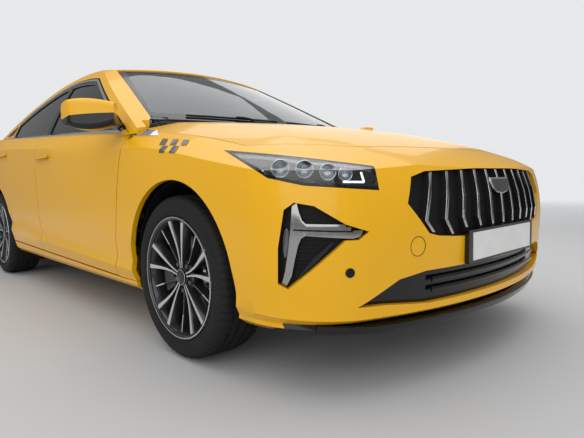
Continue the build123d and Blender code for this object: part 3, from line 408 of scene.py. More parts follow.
def laid(points, place, heading, target, lift, thickness, cell=0.02, reach=3.0):
    # An outline drawn on a plane outside the car, thrown along heading onto a piece and lifted off it.
    piece = outline(points, place)
    low, high = ([end(vertex.co[axis] for vertex in piece.data.vertices) for axis in range(3)]
                 for end in (min, max))
    gridded(piece, low, high, cell)
    heading = Vector(heading).normalized()
    missed = []
    for vertex in piece.data.vertices:
        hit, spot, normal = target.ray_cast(vertex.co - heading * 0.5, heading, distance=reach)[:3]
        if hit:
            vertex.co = spot + (normal if normal.dot(heading) < 0 else -normal) * lift
        else:
            missed.append(vertex.index)
    if missed:
        without(piece, "verts", lambda vertex: vertex.index in missed)
    if sum(polygon.normal.dot(heading) * polygon.area for polygon in piece.data.polygons) > 0:
        flipped(piece)
    return modify(piece, "SOLIDIFY", thickness=thickness, offset=1.0)


def wrapped(points, target, sign, lift, thickness, cell):
    # The same for an outline in the side view (y, z): sign is +1 on the car's left, -1 on its right.
    return laid(points, lambda y, z: (sign * 1.3, y, z), (-sign, 0, 0), target, lift, thickness, cell, 1.5)


def patch(columns, rows, place, thickness, offset=1.0):
    # A sheet of quads: place turns its two fractions into a point.
    bpy.ops.mesh.primitive_grid_add(x_subdivisions=columns, y_subdivisions=rows, size=1.0)
    piece = bpy.context.object
    for vertex in piece.data.vertices:
        vertex.co = Vector(place(vertex.co.x + 0.5, vertex.co.y + 0.5))
    modify(piece, "SOLIDIFY", thickness=thickness, offset=offset)
    editing(piece, "FACE")
    bpy.ops.mesh.normals_make_consistent(inside=False)
    done()
    return piece


def arcThrough(a, m, b, steps):
    # Points on the circle through three (y, z) points.
    (ax, ay), (mx, my), (bx, by) = a, m, b
    d = 2 * (ax * (my - by) + mx * (by - ay) + bx * (ay - my))
    aa, mm, bb = (x * x + y * y for x, y in (a, m, b))
    ux = (aa * (my - by) + mm * (by - ay) + bb * (ay - my)) / d
    uy = (aa * (bx - mx) + mm * (ax - bx) + bb * (mx - ax)) / d
    radius = math.hypot(ax - ux, ay - uy)
    first, last = math.atan2(ay - uy, ax - ux), math.atan2(by - uy, bx - ux)
    turns = [first + (last - first) * step / steps for step in range(steps + 1)]
    return [(ux + radius * math.cos(turn), uy + radius * math.sin(turn)) for turn in turns]


def offsetLine(points, distance):
    # The line moved sideways: to its right for a positive distance.
    moved = []
    for index, point in enumerate(points):
        before, after = points[max(index - 1, 0)], points[min(index + 1, len(points) - 1)]
        run = math.hypot(after[0] - before[0], after[1] - before[1])
        moved.append((point[0] + (after[1] - before[1]) / run * distance,
                      point[1] - (after[0] - before[0]) / run * distance))
    return moved


# Camera and studio.
view = {"spot": (-1.872, -3.178, 0.706), "yaw": 43.305, "pitch": -4.544, "roll": -1.215, "lens": 29.661}
studio = {"backdrop": (0.8, 0.81, 0.82), "floor": (0.52, 0.52, 0.525), "world": 0.85, "glossy": 0.34,
          "fadeStart": 5.0, "fadeEnd": 13.0}


def setCamera():
    yaw, pitch, roll = (math.radians(view[key]) for key in ("yaw", "pitch", "roll"))
    forward = Vector((math.sin(yaw) * math.cos(pitch), math.cos(yaw) * math.cos(pitch), math.sin(pitch)))
    right = forward.cross(Vector((0, 0, 1))).normalized()
    up = right.cross(forward)
    turnedRight = right * math.cos(roll) + up * math.sin(roll)
    turnedUp = up * math.cos(roll) - right * math.sin(roll)
    data = bpy.data.cameras.new("Camera")
    data.lens = view["lens"]
    data.sensor_width = 36.0
    data.clip_start = 0.05
    camera = bpy.data.objects.new("Camera", data)
    bpy.context.scene.collection.objects.link(camera)
    basis = Matrix((turnedRight, turnedUp, -forward)).transposed().to_4x4()
    camera.matrix_world = Matrix.Translation(view["spot"]) @ basis
    bpy.context.scene.camera = camera


def softBox(name, spot, target, size, power):
    light = bpy.data.lights.new(name, "AREA")
    light.shape = "RECTANGLE"
    light.size, light.size_y = size
    light.energy = power
    lamp = bpy.data.objects.new(name, light)
    lamp.location = spot
    lamp.rotation_euler = (Vector(target) - Vector(spot)).to_track_quat("-Z", "Y").to_euler()
    bpy.context.scene.collection.objects.link(lamp)


def buildStudio():
    world = bpy.data.worlds.new("Studio")
    bpy.context.scene.world = world
    world.use_nodes = True
    tree = world.node_tree
    background = tree.nodes["Background"]
    plug(tree, background.inputs["Color"], studio["backdrop"])
    rays = tree.nodes.new("ShaderNodeLightPath").outputs
    direct, through, shiny = (Wire(tree, rays[f"Is {kind} Ray"]) for kind in ("Camera", "Transmission", "Glossy"))
    seen = direct.maths("MAXIMUM", through)
    plug(tree, background.inputs["Strength"], seen * (1.0 - studio["world"]) + studio["world"]
         + shiny * (studio["glossy"] - studio["world"]))
    bpy.ops.mesh.primitive_plane_add(size=60.0, location=(0, 0, 0))
    floor = bpy.context.object
    floor.name = "floorSheet"
    ground = Finish("Pale floor", roughness=0.75)
    speckle = ground.noise(240.0, 3.0)
    ground.put(baseColor=ground.mix(ground.noise(2.2, 4.0), shaded(studio["floor"], 0.96), studio["floor"]))
    ground.bump(speckle, 0.1, 0.0008)
    x, y = (ground.node("SeparateXYZ", {"Vector": ground.place()}, axis) for axis in range(2))
    reach = (x * x + y * y).maths("SQRT")
    fade = (reach - studio["fadeStart"]) / (studio["fadeEnd"] - studio["fadeStart"])
    ground.put(alpha=1.0 - fade.maths("MAXIMUM", 0.0).maths("MINIMUM", 1.0))
    floor.data.materials.append(ground.material)
    softBox("overhead", (0.0, -0.3, 5.0), (0, 0, 0), (9.0, 8.0), 210)
    softBox("front right", (-5.5, -5.0, 3.2), (0, -0.6, 0.6), (8.0, 5.0), 150)
    softBox("rear left", (5.5, 4.5, 3.0), (0, 0.6, 0.6), (8.0, 5.0), 110)
    bpy.context.scene.view_settings.view_transform = "Standard"


setCamera()
buildStudio()
print("camera and studio ready")

sides = (("left", 1), ("right", -1))

# Body panels: the CAD skin with its doubles merged and its curves shaded smooth.
panels = {
    "body": ["front_fenders", "front_bumper", "rear_quarters", "rear_bumper", "roof_rails", "roof", "sills"],
    "bonnet_lid": ["bonnet"],
    "boot": ["boot_lid"],
    "front_left_door": ["front_door_left"],
    "front_right_door": ["front_door_right"],
    "rear_left_door": ["rear_door_left"],
    "rear_right_door": ["rear_door_right"],
}
skins = {}
for body, names in panels.items():
    for node in names:
        skins[node] = dress(softShade(merged(node), 30), node + "_skin", bodyPaint, body, "body_paint", node)


# Door frames are black above the belt, and what faces inwards is trimmed.
belt = {"z": 0.948, "slope": 0.061, "from": -1.0, "frame": 0.0135}
lining = {"door": 0.35, "roof": 0.3}


def beltZ(y):
    return belt["z"] + belt["slope"] * (y - belt["from"])


for side, sign in sides:
    for door in ("front_door", "rear_door"):
        skin = skins[f"{door}_{side}"]
        cutAlong(skin, (0, belt["from"], belt["z"] + belt["frame"]), (0, -belt["slope"], 1.0))
        paintWhere(skin, pianoBlack, lambda face: face.center.z > beltZ(face.center.y) + belt["frame"])
        paintWhere(skin, cabinBlack, lambda face: face.normal.x * sign < -lining["door"])
for node in ("roof", "roof_rails"):
    paintWhere(skins[node], headliner, lambda face: face.normal.z < -lining["roof"] or node == "roof_rails"
               and face.normal.x * face.center.x < 0 and abs(face.normal.x) > lining["roof"])

# The feet of the windscreen pillars are black where they stand in the cowl.
pillarFoot = {"spot": (0.745, -1.0), "normal": (0.8238, 0.5669), "end": -0.9}
(footX, footY), (acrossX, acrossY) = pillarFoot["spot"], pillarFoot["normal"]
for side, sign in sides:
    cutAlong(skins["roof_rails"], (sign * footX, footY, 0), (sign * acrossX, acrossY, 0))
paintWhere(skins["roof_rails"], grainBlack, lambda face: face.center.y < pillarFoot["end"]
           and (abs(face.center.x) - footX) * acrossX + (face.center.y - footY) * acrossY < 0)

# Both bumpers have a dark lower edge, up to z and between the two sides.
edges = {"rear_bumper": {"z": 0.345, "half": 0.8, "way": 1, "from": 2.05, "material": grainBlack},
         "front_bumper": {"z": 0.2515, "half": 0.86, "way": -1, "from": 1.98, "material": pianoBlack}}
for node, edge in edges.items():
    cutAlong(skins[node], (0, 0, edge["z"]), (0, 0, 1))
    paintWhere(skins[node], edge["material"], lambda face: face.center.z < edge["z"]
               and face.center.y * edge["way"] > edge["from"] and abs(face.center.x) < edge["half"])
print("panels ready")

# Every carried-over CAD node gets its finish.
bare = {
    sideGlass: ["front_window_left", "front_window_right", "rear_window_left", "rear_window_right",
                "quarter_windows"],
    screenGlass: ["windscreen", "back_window"],
    pianoBlack: ["lower_grille", "plate_frame"],
    grainBlack: ["grille", "bumper_vents", "cowl"],
    plateWhite: ["number_plate"],
    linerFelt: ["wheel_liners"],
    underSteel: ["front_suspension", "rear_suspension", "floor", "chassis_rails", "bulkhead", "hinge_pillars",
                 "centre_pillars"],
    castSteel: ["engine", "knuckle_left", "knuckle_right", "door_hinges"],
    cabinBlack: ["dashboard", "steering_wheel"],
    carpet: ["parcel_shelf", "boot_floor", "front_seats", "rear_seat"],
    hotPipe: ["exhaust"],
    redLens: ["tail_lamps", "boot_lamp"],
}
for material, names in bare.items():
    for name in names:
        inMaterial(nodes[name], material)

# The nose in plan, in metres: at each height z how far its middle is back, its sweep, and its narrowing.
nose = {
    "front": -2.3925,
    "halfWidth": 0.9345,
    "cornerRadius": 0.33,
    "flank": 0.002,
    "rows": [(0.209, 0.075, 0.25, 0.086), (0.235, 0.018, 0.245, 0.046), (0.246, 0.041, 0.23, 0.046),
             (0.266, 0.007, 0.212, 0.031), (0.311, 0.006, 0.205, 0.028), (0.386, 0.004, 0.205, 0.018),
             (0.556, 0.0005, 0.205, 0.012), (0.665, 0.014, 0.205, 0.019), (0.772, 0.048, 0.205, 0.031)],
}


def noseY(x, z):
    rows = nose["rows"]
    z = min(max(z, rows[0][0]), rows[-1][0])
    for low, high in zip(rows, rows[1:]):
        if z <= high[0]:
            break
    along = (z - low[0]) / (high[0] - low[0])
    back, sweep, tuck = (a + (b - a) * along for a, b in zip(low[1:], high[1:]))
    half = nose["halfWidth"] - tuck
    radius = (half ** 2 + sweep ** 2) / (2 * sweep)
    middleY = nose["front"] + back + radius
    small = nose["cornerRadius"]
    centreX = half + nose["flank"] - small
    centreY = middleY - math.sqrt((radius - small) ** 2 - centreX ** 2)
    seamX = centreX * radius / (radius - small)
    x = abs(x)
    if x <= seamX:
        return middleY - math.sqrt(radius ** 2 - x ** 2)
    return centreY - math.sqrt(max(small ** 2 - (x - centreX) ** 2, 0.0))


# Tyres: grooved crown, notched shoulders, a rim guard and fine rings on the sidewall.
tyre = {"x": 0.805, "z": 0.33, "axles": {"front": -1.48, "rear": 1.32}, "blocks": 66,
        "shoulderCut": 0.0045, "ribCut": 0.0035,
        "inner": [(-0.1022, 0.2286), (-0.1022, 0.2465), (-0.1058, 0.252), (-0.1095, 0.26), (-0.1118, 0.27),
                  (-0.1125, 0.283), (-0.1118, 0.295)],
        "crown": [(0.015, 0.3299), (0.0165, 0.3228), (0.0255, 0.3228), (0.027, 0.3298), (0.051, 0.3292),
                  (0.0525, 0.322), (0.0605, 0.322), (0.062, 0.3288), (0.077, 0.3278), (0.09, 0.3245),
                  (0.099, 0.3192), (0.1045, 0.313), (0.109, 0.305)],
        "outer": [(0.1116, 0.2965), (0.1112, 0.2955), (0.1125, 0.283), (0.1118, 0.27), (0.11, 0.261),
                  (0.1112, 0.259), (0.1095, 0.2545), (0.1058, 0.252), (0.1022, 0.2465), (0.1022, 0.2286)]}


def rubberFinish():
    finish = Finish("Tyre rubber", roughness=0.7, specular=0.25)
    broad = finish.noise(9.0, 4.0)
    finish.put(baseColor=finish.mix(broad, (0.009, 0.009, 0.0095), (0.017, 0.0165, 0.016)),
               roughness=broad * 0.2 + 0.55)
    finish.bump(finish.noise(700.0, 2.0), 0.35, 0.0004)
    return finish.material


tyreRubber = rubberFinish()


def makeTyre():
    steps = tyre["blocks"] * 4
    mirrored = [(-x, radius) for x, radius in reversed(tyre["crown"])]
    piece = lathe(tyre["inner"] + mirrored + tyre["crown"] + tyre["outer"], steps)
    for vertex in piece.data.vertices:
        x, y, z = vertex.co
        radius = math.hypot(y, z)
        turn = round(math.atan2(z, y) / (2 * math.pi) * steps) % 4
        shoulder = abs(x) > 0.061 and radius > 0.312
        rib = 0.02 < abs(x) < 0.0515 and radius > 0.326
        if turn in (0, 1) and (shoulder or rib):
            short = 1 - tyre["shoulderCut" if shoulder else "ribCut"] / radius
            vertex.co = (x, y * short, z * short)
    return softShade(piece, 24)


def placeAtWheels(piece, name, material, slot, replaced=None):
    # A piece that is made about the wheel's centre goes to all four, mirrored on the car's right.
    for end, axleY in tyre["axles"].items():
        for side, sign in sides:
            twin = copyOf(piece, f"{end}_{side}_{name}")
            twin.data.transform(Matrix.Translation((tyre["x"], axleY, tyre["z"])))
            if sign < 0:
                twin.data.transform(Matrix.Scale(-1, 4, (1, 0, 0)))
                flipped(twin)
            hidden = [f"{end}_{replaced}_{side}"] if replaced else []
            dress(twin, twin.name, material, f"{end}_{side}_roadwheel", slot, *hidden)
    bpy.data.objects.remove(piece)


placeAtWheels(makeTyre(), "tyre_tread", tyreRubber, "tyre_rubber", "tyre")
print("tyres ready")

# Alloy wheels: five pairs of machined spokes that bow apart, and a thin dark spoke between the pairs.
alloy = {"pairs": 5, "nutCircle": 0.056, "thinDrop": 0.01, "foot": 0.06,
         "run": [0.036, 0.075, 0.115, 0.155, 0.195, 0.238],
         "apart": [0.006, 0.0085, 0.016, 0.027, 0.0405, 0.0545],
         "half": [0.003, 0.0042, 0.0058, 0.0078, 0.01, 0.0132],
         "face": [0.083, 0.085, 0.088, 0.093, 0.0985, 0.1035],
         "thin": [0.0035, 0.0035, 0.0034, 0.0034, 0.0034, 0.0036],
         "barrel": [(0.1015, 0.229), (0.1015, 0.244), (0.1055, 0.2452), (0.1092, 0.2438), (0.1095, 0.2395),
                    (0.105, 0.233), (0.095, 0.2265), (0.07, 0.219), (0.03, 0.214), (-0.07, 0.212),
                    (-0.1, 0.216), (-0.109, 0.23), (-0.1095, 0.244), (-0.105, 0.2452), (-0.1015, 0.244),
                    (-0.1015, 0.229), (-0.07, 0.224), (0.06, 0.224)],
         "hub": [(0.05, 0.0), (0.05, 0.07), (0.066, 0.0665), (0.071, 0.06), (0.071, 0.04), (0.0795, 0.0385),
                 (0.0815, 0.036), (0.0815, 0.0)],
         "disc": [(0.011, 0.075), (0.011, 0.158), (0.017, 0.158), (0.017, 0.15), (0.0235, 0.15), (0.0235, 0.158),
                  (0.0295, 0.158), (0.0295, 0.098), (0.037, 0.092), (0.037, 0.06), (0.02, 0.06)],
         "cap": [(0.08, 0.0), (0.08, 0.0335), (0.0855, 0.033), (0.0868, 0.031), (0.086, 0.029),
                 (0.0848, 0.0285), (0.0862, 0.015), (0.0866, 0.0)],
         "ring": [(0.085, 0.0315), (0.0876, 0.0312), (0.0878, 0.0296), (0.085, 0.0292)]}


def spokeBar(side, halves, drop, degrees):
    # A bar of six stations: bright face, a small chamfer and dark flanks that widen towards the back.
    count = len(alloy["run"])
    bpy.ops.mesh.primitive_grid_add(x_subdivisions=5, y_subdivisions=count - 1, size=1.0)
    piece = bpy.context.object
    across = [(-1.9, -0.036), (-1.25, -0.0045), (-0.82, 0.0), (0.82, 0.0), (1.25, -0.0045), (1.9, -0.036)]
    for index, vertex in enumerate(piece.data.vertices):
        row, column = divmod(index, len(across))
        reach, depth = across[column]
        vertex.co = (alloy["face"][row] - drop + depth, alloy["apart"][row] * side + reach * halves[row],
                     max(alloy["run"][row], alloy["foot"] if drop else 0))
    piece.data.transform(Matrix.Rotation(math.radians(degrees), 4, "X"))
    return piece


def brightFace(face):
    # The flat fronts of the spokes, and the rim's outer lip.
    x, radius = face.center.x, math.hypot(face.center.y, face.center.z)
    front = abs(face.normal.x) > 0.9 and 0.0375 < radius < 0.2395 and x > 0.083 and face.area < 0.002
    return front or x > 0.1 and radius > 0.2375


def makeWheel():
    parts = [lathe(alloy["barrel"], 120)]
    for index in range(alloy["pairs"]):
        parts += [spokeBar(side, alloy["half"], 0.0, 72 * index) for side in (-1, 1)]
        parts.append(spokeBar(0, alloy["thin"], alloy["thinDrop"], 72 * index + 36))
    parts.append(lathe(alloy["hub"], 60))
    wheel = joinAll(parts)
    editing(wheel, "FACE")
    bpy.ops.mesh.remove_doubles(threshold=0.00002)
    done()
    inMaterial(wheel, rimPaint)
    paintWhere(wheel, machined, brightFace)
    return softShade(wheel, 28)


def makeNuts():
    nuts = []
    for index in range(alloy["pairs"]):
        turn = math.radians(72 * index + 36)
        spot = (0.074, math.sin(turn) * alloy["nutCircle"], math.cos(turn) * alloy["nutCircle"])
        bpy.ops.mesh.primitive_cylinder_add(vertices=6, radius=0.01, depth=0.016, location=spot,
                                            rotation=(0, math.pi / 2, 0))
        nuts.append(edged(settle(bpy.context.object), 0.0016))
    return joinAll(nuts)


placeAtWheels(makeWheel(), "alloy_wheel", None, "wheel_alloy", "wheel")
placeAtWheels(softShade(lathe(alloy["disc"], 96), 30), "brake_disc", discSteel, "bare_steel")
placeAtWheels(softShade(lathe(alloy["cap"], 60), 40), "centre_cap", pianoBlack, "wheel_alloy")
placeAtWheels(softShade(lathe(alloy["ring"], 60), 40), "cap_ring", chrome, "wheel_alloy")
placeAtWheels(makeNuts(), "wheel_nuts", castSteel, "bare_steel")
print("wheels ready")

# The bright line along each door's belt rides on the door. Thin trim stands this far off the paint.
trimLift = 0.0006
beltTrim = {"ends": {"front": (-1.003, 0.2145), "rear": (0.2215, 1.236)}, "height": 0.0145, "thick": 0.004,
            "edge": 0.0012}
for side, sign in sides:
    for end, (start, stop) in beltTrim["ends"].items():
        line = [(y, beltZ(y) + belt["frame"]) for y in (start, (start + stop) / 2, stop)]
        under = [(y, z - beltTrim["height"]) for y, z in line]
        trim = wrapped(line + under[::-1], skins[f"{end}_door_{side}"], sign, trimLift, beltTrim["thick"], 0.05)
        fit(edged(trim, beltTrim["edge"]), f"{end}_door_{side}_belt_trim", chrome, "bare_steel",
            body=f"{end}_{side}_door")
print("window trim ready")

# Grille: bright strips on the bars, between its upper and its lower edge.
grille = {"bars": 11, "pitch": 0.094, "bend": 0.566, "waist": 0.645, "foot": 0.49, "strip": 0.0062,
          "upper": [(0.0, 0.738), (0.165, 0.738), (0.444, 0.729), (0.511, 0.711)],
          "lower": [(0.282, 0.5), (0.416, 0.512), (0.462, 0.524), (0.547, 0.626)],
          "plateHalf": 0.288, "plateTop": 0.524, "top": 0.739, "topShare": 0.88, "footShare": 0.95,
          "topBend": 0.12, "footBend": 0.13, "thick": 0.012, "edge": 0.0015}


def heightOn(line, x):
    # The height of a line of (x, z) points, on either side of the middle.
    for (ax, az), (bx, bz) in zip(line, line[1:]):
        if abs(x) <= bx:
            return az + (bz - az) * (abs(x) - ax) / (bx - ax)
    return line[-1][1]


def grilleStrips():
    strips = []
    bend, waist = grille["bend"], grille["waist"]
    for index in range(grille["bars"]):
        x = grille["pitch"] * (index - (grille["bars"] - 1) / 2)
        topX, footX = grille["topShare"] * x, grille["footShare"] * x
        head = heightOn(grille["upper"], topX) - 0.004
        edge = grille["plateTop"] if abs(footX) < grille["plateHalf"] else heightOn(grille["lower"], footX)
        foot = edge + 0.006
        low = x * (1 - grille["footBend"] * (bend - foot) / (bend - grille["foot"]))
        middle = x * (1 - grille["topBend"] * (waist - bend) / (grille["top"] - bend))
        path = [(topX, head), (middle, waist), (x, bend), (low, foot)]
        ring = [(px + way * grille["strip"], pz) for way, run in ((-1, path), (1, path[::-1])) for px, pz in run]
        strip = outline(ring, lambda px, pz: (px, noseY(px, pz) + 0.002, pz))
        strips.append(edged(deepened(strip, (0, grille["thick"], 0)), grille["edge"]))
    return joinAll(strips)


fit(grilleStrips(), "grille_strips", satinChrome, "bare_steel")

# The grey chequer on each front wing.
chequer = [
    [(-1.332, 0.892), (-1.369, 0.889), (-1.394, 0.861), (-1.353, 0.864)],
    [(-1.405, 0.885), (-1.439, 0.883), (-1.462, 0.856), (-1.424, 0.859)],
    [(-1.475, 0.877), (-1.509, 0.875), (-1.527, 0.851), (-1.495, 0.853)],
    [(-1.387, 0.858), (-1.423, 0.855), (-1.432, 0.827), (-1.392, 0.829)],
    [(-1.456, 0.853), (-1.491, 0.85), (-1.512, 0.822), (-1.471, 0.824)],
]
for side, sign in sides:
    tiles = [wrapped(corners, skins["front_fenders"], sign, 0.0018, 0.0004, 0.007) for corners in chequer]
    dress(joinAll(tiles), f"wing_chequer_{side}", decalGrey, "body", "black_plastic")
print("front trim ready")

# Lamps and vents lie on the corner, so they are drawn on an upright plane turned by 40 degrees.
corner = {"turn": math.radians(40), "out": 2.6, "reach": 4.0}


def cornerPlace(sign):
    turn = corner["turn"]

    def place(x, y, z):
        along = x * math.cos(turn) + y * math.sin(turn)
        return (sign * (along * math.cos(turn) + corner["out"] * math.sin(turn)),
                along * math.sin(turn) - corner["out"] * math.cos(turn), z)
    return place


def cornerHeading(sign):
    return (-sign * math.sin(corner["turn"]), math.cos(corner["turn"]), 0.0)


def onCorner(target, sign, x, y, z, depth=0.0):
    heading = Vector(cornerHeading(sign))
    start = Vector(cornerPlace(sign)(x, y, z))
    hit, spot = target.ray_cast(start, heading, distance=corner["reach"])[:2]
    return spot + heading * depth if hit else Vector((sign * x, y, z)) + heading * depth


def shellOf(node, keep):
    # The faces of a CAD node that keep(normal, centre) chooses, as a piece of its own.
    return without(merged(node), "faces", lambda face: not keep(face.normal, face.calc_center_median()))


def outwards(normal, centre):
    heading = Vector(cornerHeading(1 if centre.x > 0 else -1))
    return -normal.dot(heading) > 0.3


headlamp = {"rim": 0.01, "cover": 0.003, "box": 0.0015, "deep": 0.03, "bulb": 0.52, "bulbDeep": 0.42,
            "stripDeep": 0.012, "stripRadius": 0.0032, "bandTall": 0.017, "bandDeep": (0.007, 0.01),
            "bowls": [(0.868, -2.066, 0.745, 0.027), (0.829, -2.135, 0.741, 0.026), (0.782, -2.188, 0.731, 0.024),
                      (0.739, -2.222, 0.723, 0.02)],
            "daylight": [(0.758, -2.228, 0.699), (0.692, -2.254, 0.697), (0.695, -2.246, 0.727)],
            "band": [(0.856, -1.8, 0.806), (0.848, -1.93, 0.795), (0.836, -2.03, 0.783), (0.8, -2.1, 0.772),
                     (0.7, -2.2, 0.756), (0.64, -2.243, 0.743)]}
glow = glowing("Daylight strip", (0.95, 0.97, 1.0), 1.6, 0.3, (0.8, 0.82, 0.86), (0.95, 0.96, 0.98))
smoke = tint("Smoked lamp band", (0.16, 0.19, 0.23), 0.55, 0.05, coatWeight=1.0)
bowlMirror = brushed("Lamp reflector", (0.52, 0.54, 0.57), 0.12, 120.0)
lampDark = grained("Lamp bezel", (0.005, 0.0055, 0.006), 0.3, 500.0, 0.00003, 0.2, specular=0.3)


def makeHeadlamps():
    box = shellOf("headlamps", lambda normal, centre: not outwards(normal, centre))
    cover = shellOf("headlamps", outwards)
    editing(cover, "FACE")
    bpy.ops.mesh.inset(thickness=headlamp["rim"], use_boundary=True, use_even_offset=True)
    bpy.ops.mesh.select_all(action="INVERT")
    done()
    inMaterial(cover, lampClear)
    paintWhere(cover, pianoBlack, lambda face: face.select)
    modify(cover, "SOLIDIFY", thickness=headlamp["cover"], offset=-1.0)
    softShade(cover, 40)
    dress(cover, "headlamp_covers", None, "body", "lamp_lens", "headlamps")
    modify(box, "SOLIDIFY", thickness=headlamp["box"], offset=-1.0)
    fit(box, "headlamp_boxes", lampDark, degrees=30)
    bowls, bulbs, rings, strips, bands = [], [], [], [], []
    for side, sign in sides:
        heading = Vector(cornerHeading(sign))
        turn = heading.to_track_quat("Z", "Y").to_euler()
        for x, y, z, radius in headlamp["bowls"]:
            spot = onCorner(cover, sign, x, y, z, headlamp["deep"])
            bpy.ops.mesh.primitive_uv_sphere_add(segments=24, ring_count=12, radius=radius, location=spot,
                                                 rotation=turn)
            bowl = settle(bpy.context.object)
            cutAlong(bowl, spot - heading * 0.002, heading, clear_inner=True)
            bowls.append(modify(bowl, "SOLIDIFY", thickness=0.0012, offset=1.0))
            bpy.ops.mesh.primitive_uv_sphere_add(segments=20, ring_count=10, radius=radius * headlamp["bulb"],
                                                 location=spot + heading * radius * headlamp["bulbDeep"])
            bulbs.append(settle(bpy.context.object))
            bpy.ops.mesh.primitive_torus_add(major_segments=32, minor_segments=8, major_radius=radius + 0.001,
                                             minor_radius=0.0016, location=spot - heading * 0.003, rotation=turn)
            rings.append(settle(bpy.context.object))
        route = [onCorner(cover, sign, *spot, headlamp["stripDeep"]) for spot in headlamp["daylight"]]
        strips += [pipe(run, headlamp["stripRadius"], 2) for run in (route[:2], route[1:])]

        def along(u, v):
            top = headlamp["band"]
            place = u * (len(top) - 1)
            index = min(int(place), len(top) - 2)
            x, y, z = (a + (b - a) * (place - index) for a, b in zip(top[index], top[index + 1]))
            first, more = headlamp["bandDeep"]
            return onCorner(cover, sign, x, y, z - headlamp["bandTall"] * v, first + more * v)
        bands.append(patch(40, 3, along, 0.0015, -1.0))
    fit(joinAll(bowls), "headlamp_bowls", bowlMirror, "bare_steel", 40)
    fit(joinAll(bulbs), "headlamp_lenses", lampClear, "lamp_lens", 60)
    fit(joinAll(rings), "headlamp_rings", chrome, "bare_steel", 60)
    fit(joinAll(strips), "daylight_strips", glow, "lamp_lens", 60)
    fit(joinAll(bands), "headlamp_bands", smoke, "lamp_lens", 40)


makeHeadlamps()
print("headlamps ready")

# The vents: a bright T on a ribbed black insert, with a slot along its bar and a dark reflector beside it.
vent = {
    "t": [(0.864, -2.117, 0.632), (0.856, -2.129, 0.636), (0.854, -2.135, 0.609), (0.85, -2.143, 0.585),
          (0.844, -2.152, 0.574), (0.757, -2.245, 0.569), (0.737, -2.256, 0.563), (0.716, -2.262, 0.548),
          (0.721, -2.253, 0.53), (0.742, -2.242, 0.526), (0.845, -2.152, 0.538), (0.853, -2.141, 0.53),
          (0.858, -2.133, 0.506), (0.862, -2.123, 0.464), (0.865, -2.112, 0.414), (0.875, -2.1, 0.382),
          (0.888, -2.092, 0.384), (0.875, -2.095, 0.429), (0.873, -2.106, 0.49), (0.87, -2.114, 0.558)],
    "slot": [(0.866, -2.122, 0.559), (0.742, -2.244, 0.55), (0.742, -2.244, 0.545), (0.866, -2.122, 0.554)],
    "reflector": [(0.871, -2.095, 0.561), (0.868, -2.101, 0.549), (0.869, -2.099, 0.512), (0.871, -2.092, 0.473),
                  (0.873, -2.086, 0.467), (0.876, -2.083, 0.488), (0.876, -2.084, 0.526), (0.874, -2.089, 0.553)],
    "blade": [(0.85, -2.12, 0.41), (0.824, -2.162, 0.471), (0.788, -2.2, 0.517), (0.782, -2.205, 0.515),
              (0.821, -2.164, 0.452), (0.856, -2.128, 0.405)],
    "ribs": 17, "ribTop": 0.606, "ribPitch": 0.0125, "ribHeight": 0.004, "ribRear": (0.86, -2.1),
}


def onVent(points, sign, lift, thickness, cell=0.012):
    return laid(points, cornerPlace(sign), cornerHeading(sign), nodes["bumper_vents"], lift, thickness, cell,
                corner["reach"])


for side, sign in sides:
    bar = onVent(vent["t"], sign, 0.006, 0.011)
    fit(edged(bar, 0.0045, 50, 3), f"vent_trim_{side}", darkChrome, "bare_steel", 45)
    slit = onVent(vent["slot"], sign, 0.0172, 0.0006)
    dress(slit, f"vent_slot_{side}", pianoBlack, "body", "black_plastic")
    glass = onVent(vent["reflector"], sign, 0.004, 0.004)
    fit(edged(glass, 0.0015, 50), f"vent_reflector_{side}", smoke, "lamp_lens", 45)
    fit(onVent(vent["blade"], sign, 0.004, 0.006), f"vent_blade_{side}", pianoBlack, degrees=45)
    ribs = []
    for step in range(vent["ribs"]):
        z = vent["ribTop"] - step * vent["ribPitch"]
        # The ribs reach furthest in the middle of the vent, and draw back towards its foot.
        tip = 0.775 if 0.5 < z < 0.6 else 0.8 if z > 0.5 else 0.79 + (0.5 - z) * 0.7
        rear, front = vent["ribRear"], (tip, -2.205 + (tip - 0.775) * 0.8)
        low = z - vent["ribHeight"]
        ribs.append(onVent([(*rear, z), (*front, z), (*front, low), (*rear, low)], sign, 0.0005, 0.004, 0.03))
    dress(joinAll(ribs), f"vent_ribs_{side}", grainBlack, "body", "black_plastic")
print("vents ready")

# Lower grille, splitter and the small things on the front bumper.
bumper = {"barRows": [(0.369, 0.36), (0.334, 0.325)], "barReach": 0.43, "splitter": (0.213, 0.24),
          "splitterReach": 0.8, "splitterLift": 0.012, "sensor": (0.756, 0.423, 0.015),
          "towEye": (-0.512, 0.485, 0.032)}


def onBumper(x, z):
    # Where a level line meets the front bumper, its normal there, and the turn onto it.
    spot, normal = skins["front_bumper"].ray_cast(Vector((x, -3.0, z)), Vector((0, 1, 0)))[1:3]
    return spot, normal, normal.to_track_quat("Z", "Y").to_euler()


